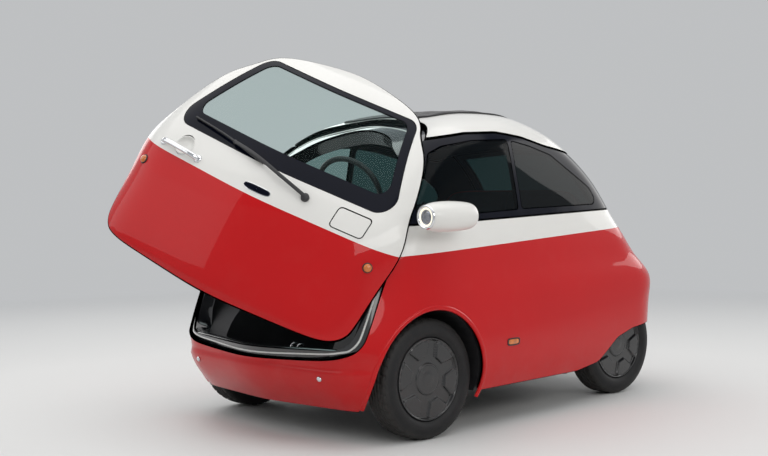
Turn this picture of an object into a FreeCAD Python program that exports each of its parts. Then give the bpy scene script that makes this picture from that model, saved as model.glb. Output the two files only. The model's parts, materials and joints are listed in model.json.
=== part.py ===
import FreeCAD, Part
import math
import os

V = FreeCAD.Vector

# Driving dimensions, millimetres. Drawn about the point midway between the axles, on the floor.
WHEELBASE = 1550.0
TYRE_R = 263.5
TYRE_W = 145.0
RIM_R = 186.0
FRONT_OUT_Y = 692.0
REAR_OUT_Y = 518.0
KINGPIN_Y = 560.0
WALL = 30.0
GLASS_OUT = 2.0
GLASS_IN = 7.0
SHUT_GAP = 6.0
EDGE_CLEAR = 6.5
ARCH_R = 312.0
BELT_FRONT_X = 967.0
BELT_FRONT_Z = 800.0
BELT_SLOPE = -0.045
DOOR_BELT_Z = 813.0
DOOR_AXIS_POINT = V(934.5, 639.2, 750.0)
DOOR_AXIS = V(-0.651, -0.1555, 0.7429)
DOOR_OPEN_DEG = 36.3
FLAP_PIN_LOW = V(1088.01, 499.4, 822.5)
FLAP_PIN_HIGH = V(1022.86, 499.4, 923.0)
HATCH_AXIS = V(-473.07, 0, 1306.11)
CENTRE_X = 275.5
CHORD_SAG = 0.6

FRONT_X = WHEELBASE / 2
REAR_X = -WHEELBASE / 2
FRONT_Y = FRONT_OUT_Y - TYRE_W / 2
REAR_Y = REAR_OUT_Y - TYRE_W / 2

# Body slices from the sill to the roof.
# z, front x, corner x and y, widest x and y, rear corner x and y, rear x, front and rear corner radius
SLICES = [
    (142, 1150, 1075, 630, 780, 700, -960, 560, -1060, 200, 200),
    (260, 1245, 1160, 700, 790, 745, -1000, 580, -1110, 300, 220),
    (360, 1275, 1180, 710, 790, 755, -1020, 590, -1140, 300, 240),
    (500, 1265, 1160, 702, 780, 747, -1035, 596, -1165, 300, 260),
    (620, 1240, 1125, 700, 760, 731, -1040, 594, -1170, 300, 260),
    (720, 1215, 1095, 699, 740, 718, -940, 580, -1065, 280, 250),
    (820, 1180, 1060, 695, 700, 708, -850, 572, -970, 260, 240),
    (940, 1110, 985, 670, 620, 688, -745, 560, -850, 250, 220),
    (1080, 990, 870, 630, 500, 655, -640, 540, -735, 240, 200),
    (1220, 845, 730, 580, 350, 615, -500, 510, -590, 220, 200),
    (1320, 710, 600, 530, 200, 570, -352, 482, -445, 200, 200),
    (1390, 570, 470, 470, 100, 502, -212, 425, -295, 180, 180),
    (1435, 400, 320, 370, 90, 394, -95, 348, -155, 150, 110),
    (1457, 240, 200, 220, 80, 230, -20, 200, -35, 90, 60),
]


def offset_polygon(points, distance):
    """Closed anticlockwise polygon moved inwards by distance."""
    count = len(points)
    lines = []
    for i in range(count):
        ax, ay = points[i]
        bx, by = points[(i + 1) % count]
        length = math.hypot(bx - ax, by - ay)
        nx, ny = -(by - ay) / length, (bx - ax) / length
        lines.append((nx, ny, nx * ax + ny * ay + distance))
    out = []
    for i in range(count):
        a1, b1, c1 = lines[i - 1]
        a2, b2, c2 = lines[i]
        det = a1 * b2 - a2 * b1
        out.append(((c1 * b2 - c2 * b1) / det, (a1 * c2 - a2 * c1) / det))
    return out


def rounded_wire(points, radii, place):
    """Closed wire whose corners are rounded by short chords; place turns a 2-D point into a Vector."""
    out = []
    count = len(points)
    for i in range(count):
        px, py = points[i]
        r = radii[i]
        if r <= 0:
            out.append((px, py))
            continue
        ax, ay = points[i - 1]
        bx, by = points[(i + 1) % count]
        la, lb = math.hypot(ax - px, ay - py), math.hypot(bx - px, by - py)
        ux, uy, wx, wy = (ax - px) / la, (ay - py) / la, (bx - px) / lb, (by - py) / lb
        half_angle = math.acos(max(-1.0, min(1.0, ux * wx + uy * wy))) / 2
        reach = r / math.sin(half_angle) / math.hypot(ux + wx, uy + wy)
        t = r / math.tan(half_angle)
        cx, cy = px + (ux + wx) * reach, py + (uy + wy) * reach
        start = math.atan2(py + uy * t - cy, px + ux * t - cx)
        turn = math.atan2(py + wy * t - cy, px + wx * t - cx) - start
        turn = (turn + math.pi) % (2 * math.pi) - math.pi
        steps = max(1, math.ceil(abs(turn) / (2 * math.acos(1 - min(0.5, CHORD_SAG / r)))))
        for k in range(steps + 1):
            a = start + turn * k / steps
            out.append((cx + r * math.cos(a), cy + r * math.sin(a)))
    clean = [out[0]]
    for p in out[1:]:
        if math.hypot(p[0] - clean[-1][0], p[1] - clean[-1][1]) > 0.01:
            clean.append(p)
    if math.hypot(clean[0][0] - clean[-1][0], clean[0][1] - clean[-1][1]) < 0.01:
        clean.pop()
    corners = [place(*p) for p in clean]
    return Part.makePolygon(corners + corners[:1])


def slice_outline(row):
    """Corner points and radii of one body slice, anticlockwise from the nose."""
    z, xf, xc, yc, xb, yb, xd, yd, xr, rc, rd = row
    s = min(1.0, yc / 650.0) ** 2
    points = [(xf, 0), (xc, yc), (xb, yb), (xd, yd), (xr, 0), (xd, -yd), (xb, -yb), (xc, -yc)]
    rf, rb, rr = 800 * s, 1080 * s, 600 * s
    return points, [rf, rc, rb, rd, rr, rd, rb, rc]


def slice_slope(i):
    """How fast the body draws in with height at slice i."""
    lo, hi = max(0, i - 1), min(len(SLICES) - 1, i + 1)
    a, b = SLICES[lo], SLICES[hi]
    draw = ((a[1] - b[1]) + (a[5] - b[5]) + (b[8] - a[8])) / 3.0
    return max(0.0, draw / (b[0] - a[0]))


# Directions, in degrees from the nose, in which the flat facets of the skin face.
FACETS = [0, 3.5, 7, 8.5, 9.8, 11, 12.2, 17, 23, 30, 38, 47, 56, 65, 74, 80, 83.3, 85.2, 87, 90, 93,
          94.5, 95, 96, 98, 101, 104, 108, 114, 122, 131, 140, 149, 157, 163, 167.7, 169, 170.3, 175, 180]


def slice_ring(row, inward, z):
    """Corners of one slice drawn in by inward: the facets that touch its rounded outline."""
    points, radii = slice_outline(row)
    discs = []
    for i in range(len(points)):
        px, py = points[i]
        ax, ay = points[i - 1]
        bx, by = points[(i + 1) % len(points)]
        la, lb = math.hypot(ax - px, ay - py), math.hypot(bx - px, by - py)
        ux, uy, wx, wy = (ax - px) / la, (ay - py) / la, (bx - px) / lb, (by - py) / lb
        reach = radii[i] / math.sin(math.acos(ux * wx + uy * wy) / 2) / math.hypot(ux + wx, uy + wy)
        discs.append((px, py, px + (ux + wx) * reach, py + (uy + wy) * reach, radii[i] - inward))
    lines = []
    for turn in FACETS + [-t for t in reversed(FACETS[1:-1])]:
        c, s = math.cos(math.radians(turn)), math.sin(math.radians(turn))
        _, _, x, y, r = max(discs, key=lambda disc: disc[0] * c + disc[1] * s)
        lines.append((c, s, x * c + y * s + r))
    ring = []
    for i in range(len(lines)):
        a1, b1, c1 = lines[i]
        a2, b2, c2 = lines[(i + 1) % len(lines)]
        det = a1 * b2 - a2 * b1
        ring.append(V((c1 * b2 - c2 * b1) / det, (a1 * c2 - a2 * c1) / det, z))
    return ring


def flat(points):
    """Flat face through the points."""
    return Part.Face(Part.makePolygon(points + points[:1]))


def patch(a, b, c, d):
    """One flat face between four corners, or two where they don't lie in a plane."""
    normal = (b - a).cross(c - a).normalize()
    if abs((d - a).dot(normal)) < 1e-6:
        return [flat([a, b, c, d])]
    return [flat([a, b, c]), flat([a, c, d])]


def stacked(rings, closed=False):
    """Solid through rings of points, with flat faces between neighbouring points."""
    count = len(rings[0])
    pairs = list(zip(rings, rings[1:]))
    faces = []
    if closed:
        pairs.append((rings[-1], rings[0]))
    else:
        faces += [flat(rings[0]), flat(rings[-1])]
    for low, high in pairs:
        for k in range(count):
            m = (k + 1) % count
            faces += patch(low[k], low[m], high[m], high[k])
    shell = Part.makeShell(faces)
    shell.sewShape()
    solid = Part.makeSolid(shell)
    if solid.Volume < 0:
        solid.reverse()
    return solid


SKINS = {}


def body_skin(depth, open_bottom=False):
    """Solid inside the body skin moved inwards by depth along its normals."""
    key = (depth, open_bottom)
    if key not in SKINS:
        rings = []
        for i, row in enumerate(SLICES):
            h = slice_slope(i)
            inward = depth / math.sqrt(1 + h * h)
            z = row[0] - inward * h
            if i == 0 and open_bottom:
                z -= 60.0
            rings.append(slice_ring(row, inward, z))
        SKINS[key] = stacked(rings)
    return SKINS[key]


def side_face(points, radii):
    """Outline in the side view as a flat face."""
    return Part.Face(rounded_wire(points, radii, lambda x, z: V(x, 0, z)))


def carried(face, y0, y1):
    """Side-view face carried from y0 to y1."""
    face = face.copy()
    face.translate(V(0, y0, 0))
    return face.extrude(V(0, y1 - y0, 0))


def side_prism(points, radii, y0, y1):
    """Outline in the side view, carried from y0 to y1."""
    return carried(side_face(points, radii), y0, y1)


def front_prism(points, radii, x0, x1):
    """Outline in the front view, carried from x0 to x1."""
    wire = rounded_wire(points, radii, lambda y, z: V(x0, y, z))
    return Part.Face(wire).extrude(V(x1 - x0, 0, 0))


def box(x0, x1, y0, y1, z0, z1):
    return Part.makeBox(x1 - x0, y1 - y0, z1 - z0, V(x0, y0, z0))


def mirrored(shape):
    return shape.mirror(V(0, 0, 0), V(0, 1, 0))


def cylinder(r, start, end):
    """Round bar of radius r from start to end."""
    d = end.sub(start)
    return Part.makeCylinder(r, d.Length, start, d)


def tube(r_out, r_in, start, end):
    return cylinder(r_out, start, end).cut(cylinder(r_in, start, end))


def rod_path(r, points, sides=12):
    """Bent rod through the points, mitred at each bend, with flat-sided section."""
    first = (points[1] - points[0]).normalize()
    up = V(0, 0, 1) if abs(first.z) < 0.9 else V(1, 0, 0)
    across = first.cross(up).normalize()
    above = across.cross(first)
    ring = []
    for k in range(sides):
        a = 2 * math.pi * (k + 0.5) / sides
        ring.append(points[0] + across * (r * math.cos(a)) + above * (r * math.sin(a)))
    rings = [ring]
    for i in range(1, len(points)):
        along = (points[i] - points[i - 1]).normalize()
        normal = along
        if i < len(points) - 1:
            normal = (along + (points[i + 1] - points[i]).normalize()).normalize()
        moved = []
        for q in rings[-1]:
            moved.append(q + along * ((points[i] - q).dot(normal) / along.dot(normal)))
        rings.append(moved)
    return stacked(rings)


def round_ring(centre, r, axis, sides=48):
    """Points round a circle that its flats touch; axis is 'x' or 'y'."""
    reach = r / math.cos(math.pi / sides)
    ring = []
    for k in range(sides):
        a = 2 * math.pi * (k + 0.5) / sides
        p, q = reach * math.cos(a), reach * math.sin(a)
        ring.append(centre + (V(p, 0, q) if axis == "y" else V(0, p, q)))
    return ring


def drum(r, a0, a1, sides=48):
    """Many-sided disc of radius r about the Y axis from a0 to a1."""
    return stacked([round_ring(V(0, a, 0), r, "y", sides) for a in (a0, a1)])


def axle_drum(r, x, y0, y1, sides=48):
    """Many-sided disc of radius r about the axle line through x, from y0 to y1."""
    return stacked([round_ring(V(x, y, TYRE_R), r, "y", sides) for y in (y0, y1)])


def turned(profile, sides=48):
    """Ring of flat bands about the Y axis; profile is a list of radius and place along Y."""
    rings = []
    for k in range(sides):
        a = 2 * math.pi * (k + 0.5) / sides
        c, s = math.cos(a), math.sin(a)
        grow = 1 / math.cos(math.pi / sides)
        rings.append([V(r * grow * c, y, r * grow * s) for r, y in profile])
    return stacked(rings, True)


def both_sides(shape):
    return Part.makeCompound([shape, mirrored(shape)])


def half(shape, side):
    """Part of the shape left (side 1) or right (side -1) of the middle."""
    y0, y1 = (0, 1200) if side > 0 else (-1200, 0)
    return shape.common(box(-1600, 2100, y0, y1, -100, 1700))


def largest(shape):
    """Drops slivers and keeps every solid above a few cubic centimetres."""
    solids = [s for s in shape.Solids if abs(s.Volume) > 4000]
    return solids[0] if len(solids) == 1 else Part.makeCompound(solids)


NODES = {}

# Outline of the front door in the side view, from the sill round the windscreen to the roof.
DOOR_LINE = [(1700, 350), (1700, 1480), (385, 1480), (671, 1258), (911, 940), (1158, 350)]
DOOR_RADII = [0, 0, 0, 320, 420, 190]


def door_face(inset):
    radii = [0, 0, 0, 320 - inset, 420 - inset, 190 - inset]
    return side_face(offset_polygon(DOOR_LINE, inset), radii)


def door_prism(inset):
    return carried(door_face(inset), -1000, 1000)


def belt_z(x):
    return BELT_FRONT_Z + BELT_SLOPE * (x - BELT_FRONT_X)


def window_foot_z(x):
    return 931.0 - 0.027 * (x - 914.0)


OUTER = body_skin(0.0)
INNER = body_skin(WALL, True)
SHELL = OUTER.cut(INNER)

# Rear hatch: sides and foot in the rear view, head along a plane square to the skin.
HATCH = [(-470, 662), (470, 662), (425, 960), (345, 1400), (-345, 1400), (-425, 960)]
HATCH_RADII = [90, 90, 300, 0, 0, 300]
HEAD_LINE = [(-1400, 20), (-100, 20), (-100, 996), (-1000, 1744), (-1400, 1744)]


def hatch_prism(inset):
    points = offset_polygon(HATCH, inset)
    sides = front_prism(points, [max(0, r - inset) for r in HATCH_RADII], -1350, -260)
    head = side_prism(offset_polygon(HEAD_LINE, inset), [0] * 5, -900, 900)
    return sides.common(head)


# Side-view regions of the shell: below the belt, the white band, the windows and the roof.
HALF = SHELL.common(box(-1600, 2100, 0, 1200, -100, 1700))
ARCH_FACE = flat(round_ring(V(FRONT_X, 0, TYRE_R), ARCH_R, "y"))
SKIRT = [(-1400, 20), (1060, 20), (1060, 180), (-290, 178), (-470, 205), (-620, 315), (-760, 352),
         (-1400, 405)]
skirt_face = side_face(SKIRT, [0, 0, 0, 120, 120, 120, 120, 0])
skirt = carried(skirt_face, -1000, 1000)
low_face = side_face([(-1400, 20), (1700, 20), (1700, belt_z(1700)), (-1400, belt_z(-1400))], [0] * 4)
band_face = side_face([(-1400, belt_z(-1400)), (1700, belt_z(1700)),
                       (1700, window_foot_z(1700)), (-1400, window_foot_z(-1400))], [0] * 4)
low = carried(low_face, -1000, 1000)
band = carried(band_face, -1000, 1000)
ROOF_LINE = [(-660, 1447.5), (-420, 1248), (-164, 1286), (10, 1324), (200, 1344), (398, 1336), (650, 1300),
             (900, 1300), (900, 1600), (-660, 1600)]
roof_face = side_face(ROOF_LINE, [0, 0, 300, 300, 300, 300, 20, 0, 0, 0])
window_face = side_face([(-1400, window_foot_z(-1400)), (1700, window_foot_z(1700)),
                         (1700, 1600), (-1400, 1600)], [0] * 4)
front_face = side_face([(900, 50), (1400, 50), (1400, 350), (900, 350)], [0] * 4)
rear_face = side_face([(-1300, 50), (-900, 50), (-900, 662), (-1300, 662)], [0] * 4)
shut = door_face(0)


def panel(source, region, y0=-1000):
    return source.common(carried(region, y0, 1000))


NODES["front_bumper"] = largest(panel(SHELL, front_face.cut(shut).cut(ARCH_FACE)))
rear_space = axle_drum(TYRE_R + 7, REAR_X, REAR_OUT_Y - TYRE_W - 7, REAR_OUT_Y + 6)
rear_space = both_sides(rear_space)
NODES["rear_bumper"] = largest(panel(SHELL, rear_face.cut(skirt_face)).cut(rear_space))
# Flat carrier for the number plate, with its two screw holes.
PLATE_X, PLATE_Z = -1178.0, 515.0
PLATE_HOLE_Y, PLATE_HOLE_R = 145.0, 3.0
carrier = box(PLATE_X, -1060, -262, 262, PLATE_Z - 57, PLATE_Z + 57).cut(INNER)
for y in (-PLATE_HOLE_Y, PLATE_HOLE_Y):
    carrier = carrier.cut(cylinder(PLATE_HOLE_R, V(PLATE_X - 5, y, PLATE_Z), V(PLATE_X + 22, y, PLATE_Z)))
    NODES["rear_bumper"] = NODES["rear_bumper"].cut(
        cylinder(PLATE_HOLE_R, V(PLATE_X - 5, y, PLATE_Z), V(PLATE_X + 22, y, PLATE_Z)))
NODES["rear_bumper"] = NODES["rear_bumper"].fuse(carrier).removeSplitter()
side = low_face.cut(shut).cut(front_face).cut(rear_face).cut(ARCH_FACE).cut(skirt_face)
side = largest(panel(HALF, side, -10).cut(hatch_prism(0)).cut(rear_space))
NODES["side_panel_left"] = side
NODES["side_panel_right"] = mirrored(side)
NODES["belt_bands"] = both_sides(largest(panel(HALF, band_face.cut(shut), -10).cut(hatch_prism(0))))
ROOF = panel(SHELL, roof_face.cut(shut)).cut(hatch_prism(0))
FRAME = panel(HALF, window_face.cut(roof_face).cut(shut), -10).cut(hatch_prism(0))

# Side windows: a front pane and a fixed quarter pane behind a thin upright.
PANE = [(142, 986), (842, 962), (640, 1242), (560, 1276), (380, 1304), (142, 1312)]
PANE_RADII = [16, 30, 60, 80, 300, 16]
QUARTER = [(-530, 1000), (112, 988), (112, 1308), (-20, 1288), (-200, 1244), (-480, 1080)]
QUARTER_RADII = [30, 16, 16, 300, 120, 60]
pane_prism = side_prism(PANE, PANE_RADII, 0, 1000)
quarter_prism = side_prism(QUARTER, QUARTER_RADII, 0, 1000)
NODES["window_frames"] = both_sides(largest(FRAME.cut(pane_prism).cut(quarter_prism)))
panes = []
for prism in (pane_prism, quarter_prism):
    panes.append(prism.common(body_skin(GLASS_OUT)).cut(body_skin(GLASS_IN)))
NODES["side_glass"] = Part.makeCompound(panes + [mirrored(p) for p in panes])

roof_hole = box(-200, 380, -290, 290, 1200, 1600)
NODES["roof_panel"] = largest(ROOF.cut(roof_hole))
fabric_box = box(-235, 425, -325, 325, 1200, 1600)
NODES["folding_roof"] = largest(fabric_box.common(body_skin(-9.0)).cut(OUTER))

# Sealing strip on the body round the door opening.
ring = carried(door_face(0).cut(door_face(16)), -1000, 1000)
strip = ring.common(body_skin(12.0)).cut(INNER)
NODES["opening_trim"] = largest(strip)

# Front door, drawn closed.
DOOR = panel(SHELL, door_face(SHUT_GAP))
rebate = carried(door_face(-2).cut(door_face(24)), -1000, 1000).common(body_skin(10.0))
DOOR = DOOR.cut(rebate)
door_low = box(-1400, 1700, -1000, 1000, 0, DOOR_BELT_Z)
SCREEN = [(-573, 945), (573, 945), (393, 1329), (-393, 1329)]
SCREEN_RADII = [60, 60, 75, 75]


def screen_prism(inset, foot=0.0, head=0.0):
    points = offset_polygon(SCREEN, inset)
    points = [(points[0][0], points[0][1] + foot), (points[1][0], points[1][1] + foot),
              (points[2][0], points[2][1] + head), (points[3][0], points[3][1] + head)]
    return front_prism(points, [max(r - inset, 20) for r in SCREEN_RADII], 420, 1500)


door = {}
door["door_lower"] = largest(DOOR.common(door_low))
door_upper = DOOR.cut(door_low).cut(screen_prism(0))
door["door_upper"] = largest(door_upper)
clear = screen_prism(36, 34, 18)
SCREEN_GLASS = screen_prism(0).common(body_skin(GLASS_OUT)).cut(body_skin(GLASS_IN))
door["windscreen_border"] = largest(SCREEN_GLASS.cut(clear))
door["windscreen"] = largest(SCREEN_GLASS.common(clear))

# Rear hatch, closed.
HATCH_SHELL = hatch_prism(SHUT_GAP).common(OUTER).cut(INNER)
hatch_low = HATCH_SHELL.common(low)
hatch_band = HATCH_SHELL.common(band)
hatch_top = HATCH_SHELL.cut(low).cut(band)
rear_window = hatch_prism(46).cut(low).cut(band)
rear_window = rear_window.cut(box(-1400, 0, -1000, 1000, 900, 1002))
NODES["hatch_lower"] = largest(hatch_low)
NODES["hatch_band"] = largest(hatch_band)
NODES["hatch_frame"] = largest(hatch_top.cut(rear_window))
NODES["rear_glass"] = largest(rear_window.common(body_skin(GLASS_OUT)).cut(body_skin(GLASS_IN)))

# Floor, wheel houses and boot floor.
floor = flat(slice_ring(SLICES[0], 31, 178)).extrude(V(0, 0, 16))
floor = floor.common(box(-420, 1400, -900, 900, 0, 400))
wheel_space = axle_drum(ARCH_R + 22, FRONT_X, 396, 1000)
floor = floor.cut(wheel_space).cut(mirrored(wheel_space)).cut(skirt)
NODES["floor_pan"] = largest(floor)
LINED = body_skin(WALL + 1.0)
house = axle_drum(ARCH_R + 20, FRONT_X, 398, 1000)
house = house.cut(axle_drum(ARCH_R - 6, FRONT_X, 408, 1001))
house = house.common(LINED).common(box(0, 1400, 0, 900, 178, 800))
front_house = largest(house)
rear_house = axle_drum(306, REAR_X, 330, 1000)
rear_house = rear_house.cut(axle_drum(290, REAR_X, 340, 1001))
rear_house = rear_house.common(LINED).common(box(-1400, 0, 0, 900, 200, 800)).cut(skirt)
rear_house = largest(rear_house)
NODES["wheel_houses"] = Part.makeCompound([front_house, rear_house, mirrored(front_house),
                                           mirrored(rear_house)])
boot = LINED.common(box(-1100, -520, -900, 900, 470, 484))
boot = boot.cut(axle_drum(308, REAR_X, 328, 1000))
boot = boot.cut(axle_drum(308, REAR_X, -1000, -328))
NODES["boot_floor"] = largest(boot)

# Seat, battery and drive blocks.
NODES["bench_base"] = box(-400, 70, -500, 500, 400.3, 530)
BACK = [(-480, 400.3), (-401, 400.3), (-401, 533), (-335, 545), (-470, 1080), (-560, 1080), (-530, 540)]
NODES["bench_back"] = side_prism(BACK, [10, 10, 0, 20, 40, 40, 60], -480, 480)
NODES["battery_block"] = box(-490, 20, -330, 330, 194, 400)
NODES["drive_block"] = box(-900, -640, -200, 200, 190, 469.7)

# Wheels. The cover has six raised panels between channels that widen towards a plain hub disc.
COVER_BASE = 50.0
COVER_TOP = 61.0
HUB_DISC_R = 69.0
CHANNEL_TURN = 10.0


def tyre_at(x, y, side):
    w = TYRE_W / 2
    shape = turned([(RIM_R - 6, -w + 8), (RIM_R - 6, w - 8), (RIM_R + 34, w), (TYRE_R - 14, w - 6),
                    (TYRE_R, w - 24), (TYRE_R, -w + 24), (TYRE_R - 14, -w + 6), (RIM_R + 34, -w)])
    shape.translate(V(x, y, TYRE_R))
    return shape


def cover_panel(turn):
    """One raised panel of the wheel cover, its middle turned from upright towards the tail."""
    middle = math.radians(turn)
    rings = []
    for level, grow in ((COVER_BASE - 2, 5.0), (COVER_TOP, 0.0)):
        ring = []
        for p, q in ((98 - grow, -24 - grow), (150, -61 - grow), (161, -56), (169, -28), (171, 0),
                     (169, 28), (161, 56), (150, 61 + grow), (98 - grow, 24 + grow)):
            ring.append(V(-q * math.cos(middle) - p * math.sin(middle), level,
                          p * math.cos(middle) - q * math.sin(middle)))
        rings.append(ring)
    return stacked(rings)


def wheel_at(x, y, side):
    """Steel rim with its cover; side is the outer direction."""
    w = TYRE_W / 2
    shape = drum(RIM_R - 6.2, -w + 6, w - 6)
    shape = shape.cut(drum(RIM_R - 18, -w, COVER_BASE - 12)).cut(drum(RIM_R - 18, COVER_BASE, w))
    for k in range(6):
        shape = shape.fuse(cover_panel(CHANNEL_TURN + 30 + 60 * k))
    shape = shape.fuse(drum(HUB_DISC_R, COVER_BASE - 6, COVER_TOP - 5, 24))
    shape = shape.fuse(drum(48, -20, COVER_BASE - 6, 24)).removeSplitter()
    shape = shape.cut(cylinder(22.3, V(0, -30, 0), V(0, 20, 0)))
    if side < 0:
        shape = mirrored(shape)
    shape.translate(V(x, y, TYRE_R))
    return shape


CORNERS = [("front_left", FRONT_X, FRONT_Y, 1), ("front_right", FRONT_X, -FRONT_Y, -1),
           ("rear_left", REAR_X, REAR_Y, 1), ("rear_right", REAR_X, -REAR_Y, -1)]
for name, x, y, side in CORNERS:
    NODES["tyre_" + name] = tyre_at(x, y, side)
    NODES["wheel_" + name] = wheel_at(x, y, side)

# Front knuckles turn on a kingpin between two arms.
def knuckle():
    post = cylinder(16, V(FRONT_X, KINGPIN_Y, 190.3), V(FRONT_X, KINGPIN_Y, 360.7))
    spindle = cylinder(22, V(FRONT_X, KINGPIN_Y + 14, TYRE_R), V(FRONT_X, FRONT_Y + 10, TYRE_R))
    arm = box(FRONT_X - 110, FRONT_X - 8, KINGPIN_Y - 14, KINGPIN_Y - 2, 226, 246)
    shape = post.fuse(spindle).fuse(arm)
    return shape.cut(cylinder(8.3, V(FRONT_X, KINGPIN_Y, 185), V(FRONT_X, KINGPIN_Y, 365)))


NODES["knuckle_left"] = knuckle()
NODES["knuckle_right"] = mirrored(knuckle())
web = box(FRONT_X - 40, FRONT_X + 40, 408, 416, 148, 377)
low_arm = box(FRONT_X - 20, FRONT_X + 20, 416, KINGPIN_Y + 14, 172, 190)
top_arm = box(FRONT_X - 20, FRONT_X + 20, 416, KINGPIN_Y + 14, 361, 377)
pin = cylinder(8, V(FRONT_X, KINGPIN_Y, 180), V(FRONT_X, KINGPIN_Y, 370))
side_arms = low_arm.fuse(top_arm).fuse(web).fuse(pin)
cross = box(FRONT_X - 40, FRONT_X + 40, -416, 416, 148, 178)
NODES["front_subframe"] = cross.fuse(side_arms).fuse(mirrored(side_arms)).removeSplitter()
beam = cylinder(24, V(REAR_X, -REAR_Y + 30, TYRE_R), V(REAR_X, REAR_Y - 30, TYRE_R))
spindles = cylinder(22, V(REAR_X, -REAR_Y - 10, TYRE_R), V(REAR_X, REAR_Y + 10, TYRE_R))
NODES["rear_axle"] = beam.fuse(spindles).cut(NODES["drive_block"]).removeSplitter()

# Lamp and mirror pods.
POD_X, POD_Y, POD_Z = 886.0, 790.0, 968.0
POD_STATIONS = [(0, 50), (-8, 55), (-40, 62), (-110, 66), (-190, 63), (-240, 58), (-262, 50)]


def pod():
    rings = [round_ring(V(POD_X + x, POD_Y, POD_Z), r, "x", 24) for x, r in POD_STATIONS]
    foot = box(700, 790, 640, 745, 930, 966)
    return stacked(rings).fuse(foot).cut(OUTER).removeSplitter()


NODES["lamp_pods"] = both_sides(largest(pod()))

# Small pieces on the skin.
def on_skin(y, z, rear=False):
    """Point of the skin first met when looking along X from ahead or behind."""
    inside = OUTER.common(Part.makeLine(V(-2000, y, z), V(2000, y, z)))
    along = [v.X for v in inside.Vertexes]
    return V(min(along) if rear else max(along), y, z)


def skin_frame(y, z, rear=False):
    """Skin point with its outward normal."""
    p = on_skin(y, z, rear)
    a, b = on_skin(y + 4, z, rear), on_skin(y, z + 4, rear)
    n = (a - p).cross(b - p)
    n.normalize()
    if (n.x > 0) == rear:
        n = n * -1.0
    return p, n


def skin_path(r, stations):
    """Round rod that follows the skin; each station is y, z and the height over the skin."""
    points = []
    for y, z, h in stations:
        p, n = skin_frame(y, z)
        points.append(p + n * h)
    return rod_path(r, points)


def skin_pad(y, z, width, height, out, depth=3.0, corner=12.0, rear=False):
    """Pad with rounded corners standing out of the skin."""
    p, n = skin_frame(y, z, rear)
    across = V(0, 0, 1).cross(n)
    across.normalize()
    up = n.cross(across)
    w, h = width / 2, height / 2
    outline = [(-w, -h), (w, -h), (w, h), (-w, h)]
    corner = min(corner, w - 0.5, h - 0.5)
    base = p - n * depth
    wire = rounded_wire(outline, [corner] * 4, lambda u, v: base + across * u + up * v)
    return Part.Face(wire).extrude(n * (depth + out))


signals = []
for s in (1, -1):
    p, n = skin_frame(578 * s, 735)
    signals.append(cylinder(17, p - n * 1.0, p + n * 14.0).cut(OUTER))
door["turn_signals"] = Part.makeCompound(signals)
door["badge_plate"] = skin_pad(12, 846, 132, 34, 3.0, 2.0, 16).cut(OUTER)
grip = skin_path(8, [(-520, 845, -4), (-505, 845, 26), (-420, 844, 34), (-338, 843, 30), (-322, 843, -4)])
door["door_handle"] = largest(grip.cut(OUTER))
arm = skin_path(6, [(211, 892, 16), (120, 912, 24), (-20, 946, 26), (-200, 965, 15)])
pivot_p, pivot_n = skin_frame(211, 892)
arm = arm.fuse(cylinder(14, pivot_p + pivot_n * 0.3, pivot_p + pivot_n * 20))
blade = skin_path(6, [(-30, 943, 10), (-240, 970, 12), (-455, 984, 10)])
wiper = arm.fuse(blade).removeSplitter()
door["wiper"] = wiper

# Charging flap in the cowl, hinged along its outer upright edge.
FLAP = [(358, 832), (503, 832), (503, 915), (358, 915)]
flap_hole = front_prism(offset_polygon(FLAP, -4), [18] * 4, 900, 1300)
flap_body = front_prism(FLAP, [14] * 4, 900, 1300)
flap_pin = cylinder(1.5, FLAP_PIN_LOW, FLAP_PIN_HIGH)
door["charge_flap"] = flap_body.common(OUTER).cut(body_skin(5.0)).fuse(flap_pin).removeSplitter()
pin_way = (FLAP_PIN_HIGH - FLAP_PIN_LOW).normalize()
pin_bore = cylinder(1.8, FLAP_PIN_LOW - pin_way * 1.0, FLAP_PIN_HIGH + pin_way * 1.0)
heel_room = cylinder(6.0, FLAP_PIN_LOW + pin_way * 6.5, FLAP_PIN_HIGH - pin_way * 4.5)
door["door_upper"] = door["door_upper"].cut(pin_bore).cut(heel_room)
door["door_upper"] = largest(door["door_upper"].cut(flap_hole.cut(body_skin(24.0))))

ring_c = V(645, 215, 920)
lean = V(-0.80, 0, 0.42)
lean.normalize()
rim_rings = []
up_lean = V(lean.z, 0, -lean.x)
for k in range(32):
    a = 2 * math.pi * k / 32
    spoke = V(0, 1, 0) * math.cos(a) + up_lean * math.sin(a)
    rim_rings.append([ring_c + spoke * (162 + 13 * math.cos(math.pi * (j + 0.5) / 4))
                      + lean * (13 * math.sin(math.pi * (j + 0.5) / 4)) for j in range(8)])
steering = stacked(rim_rings, True)
hub = cylinder(40, ring_c - lean * 45, ring_c - lean * 5)
spokes = box(-10, 10, -158, 158, -8, 8)
spokes.rotate(V(0, 0, 0), V(0, 1, 0), math.degrees(math.atan2(-lean.x, lean.z)) * -1.0)
spokes.translate(ring_c - lean * 10)
door["steering_wheel"] = steering.fuse(hub).fuse(spokes).removeSplitter()
column = cylinder(24, ring_c - lean * 300, ring_c - lean * 45.3)
bar = rod_path(26, [V(1060, -570, 885), V(930, -480, 890), V(905, 0, 895), V(930, 480, 890),
                    V(1060, 570, 885)])
hanger = box(866, 916, 198, 232, 790, 892)
door["dash_bar"] = bar.fuse(column).fuse(hanger).common(INNER).removeSplitter()

# Door hinges: two goosenecks turning about the slanted axis.
AXIS_U = V(DOOR_AXIS)
AXIS_U.normalize()
FORE = V(1, 0, 0) - AXIS_U * AXIS_U.x
FORE.normalize()
SIDE = AXIS_U.cross(FORE)


def on_axis(s, fore=0.0, side=0.0):
    return DOOR_AXIS_POINT + AXIS_U * s + FORE * fore + SIDE * side


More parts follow.
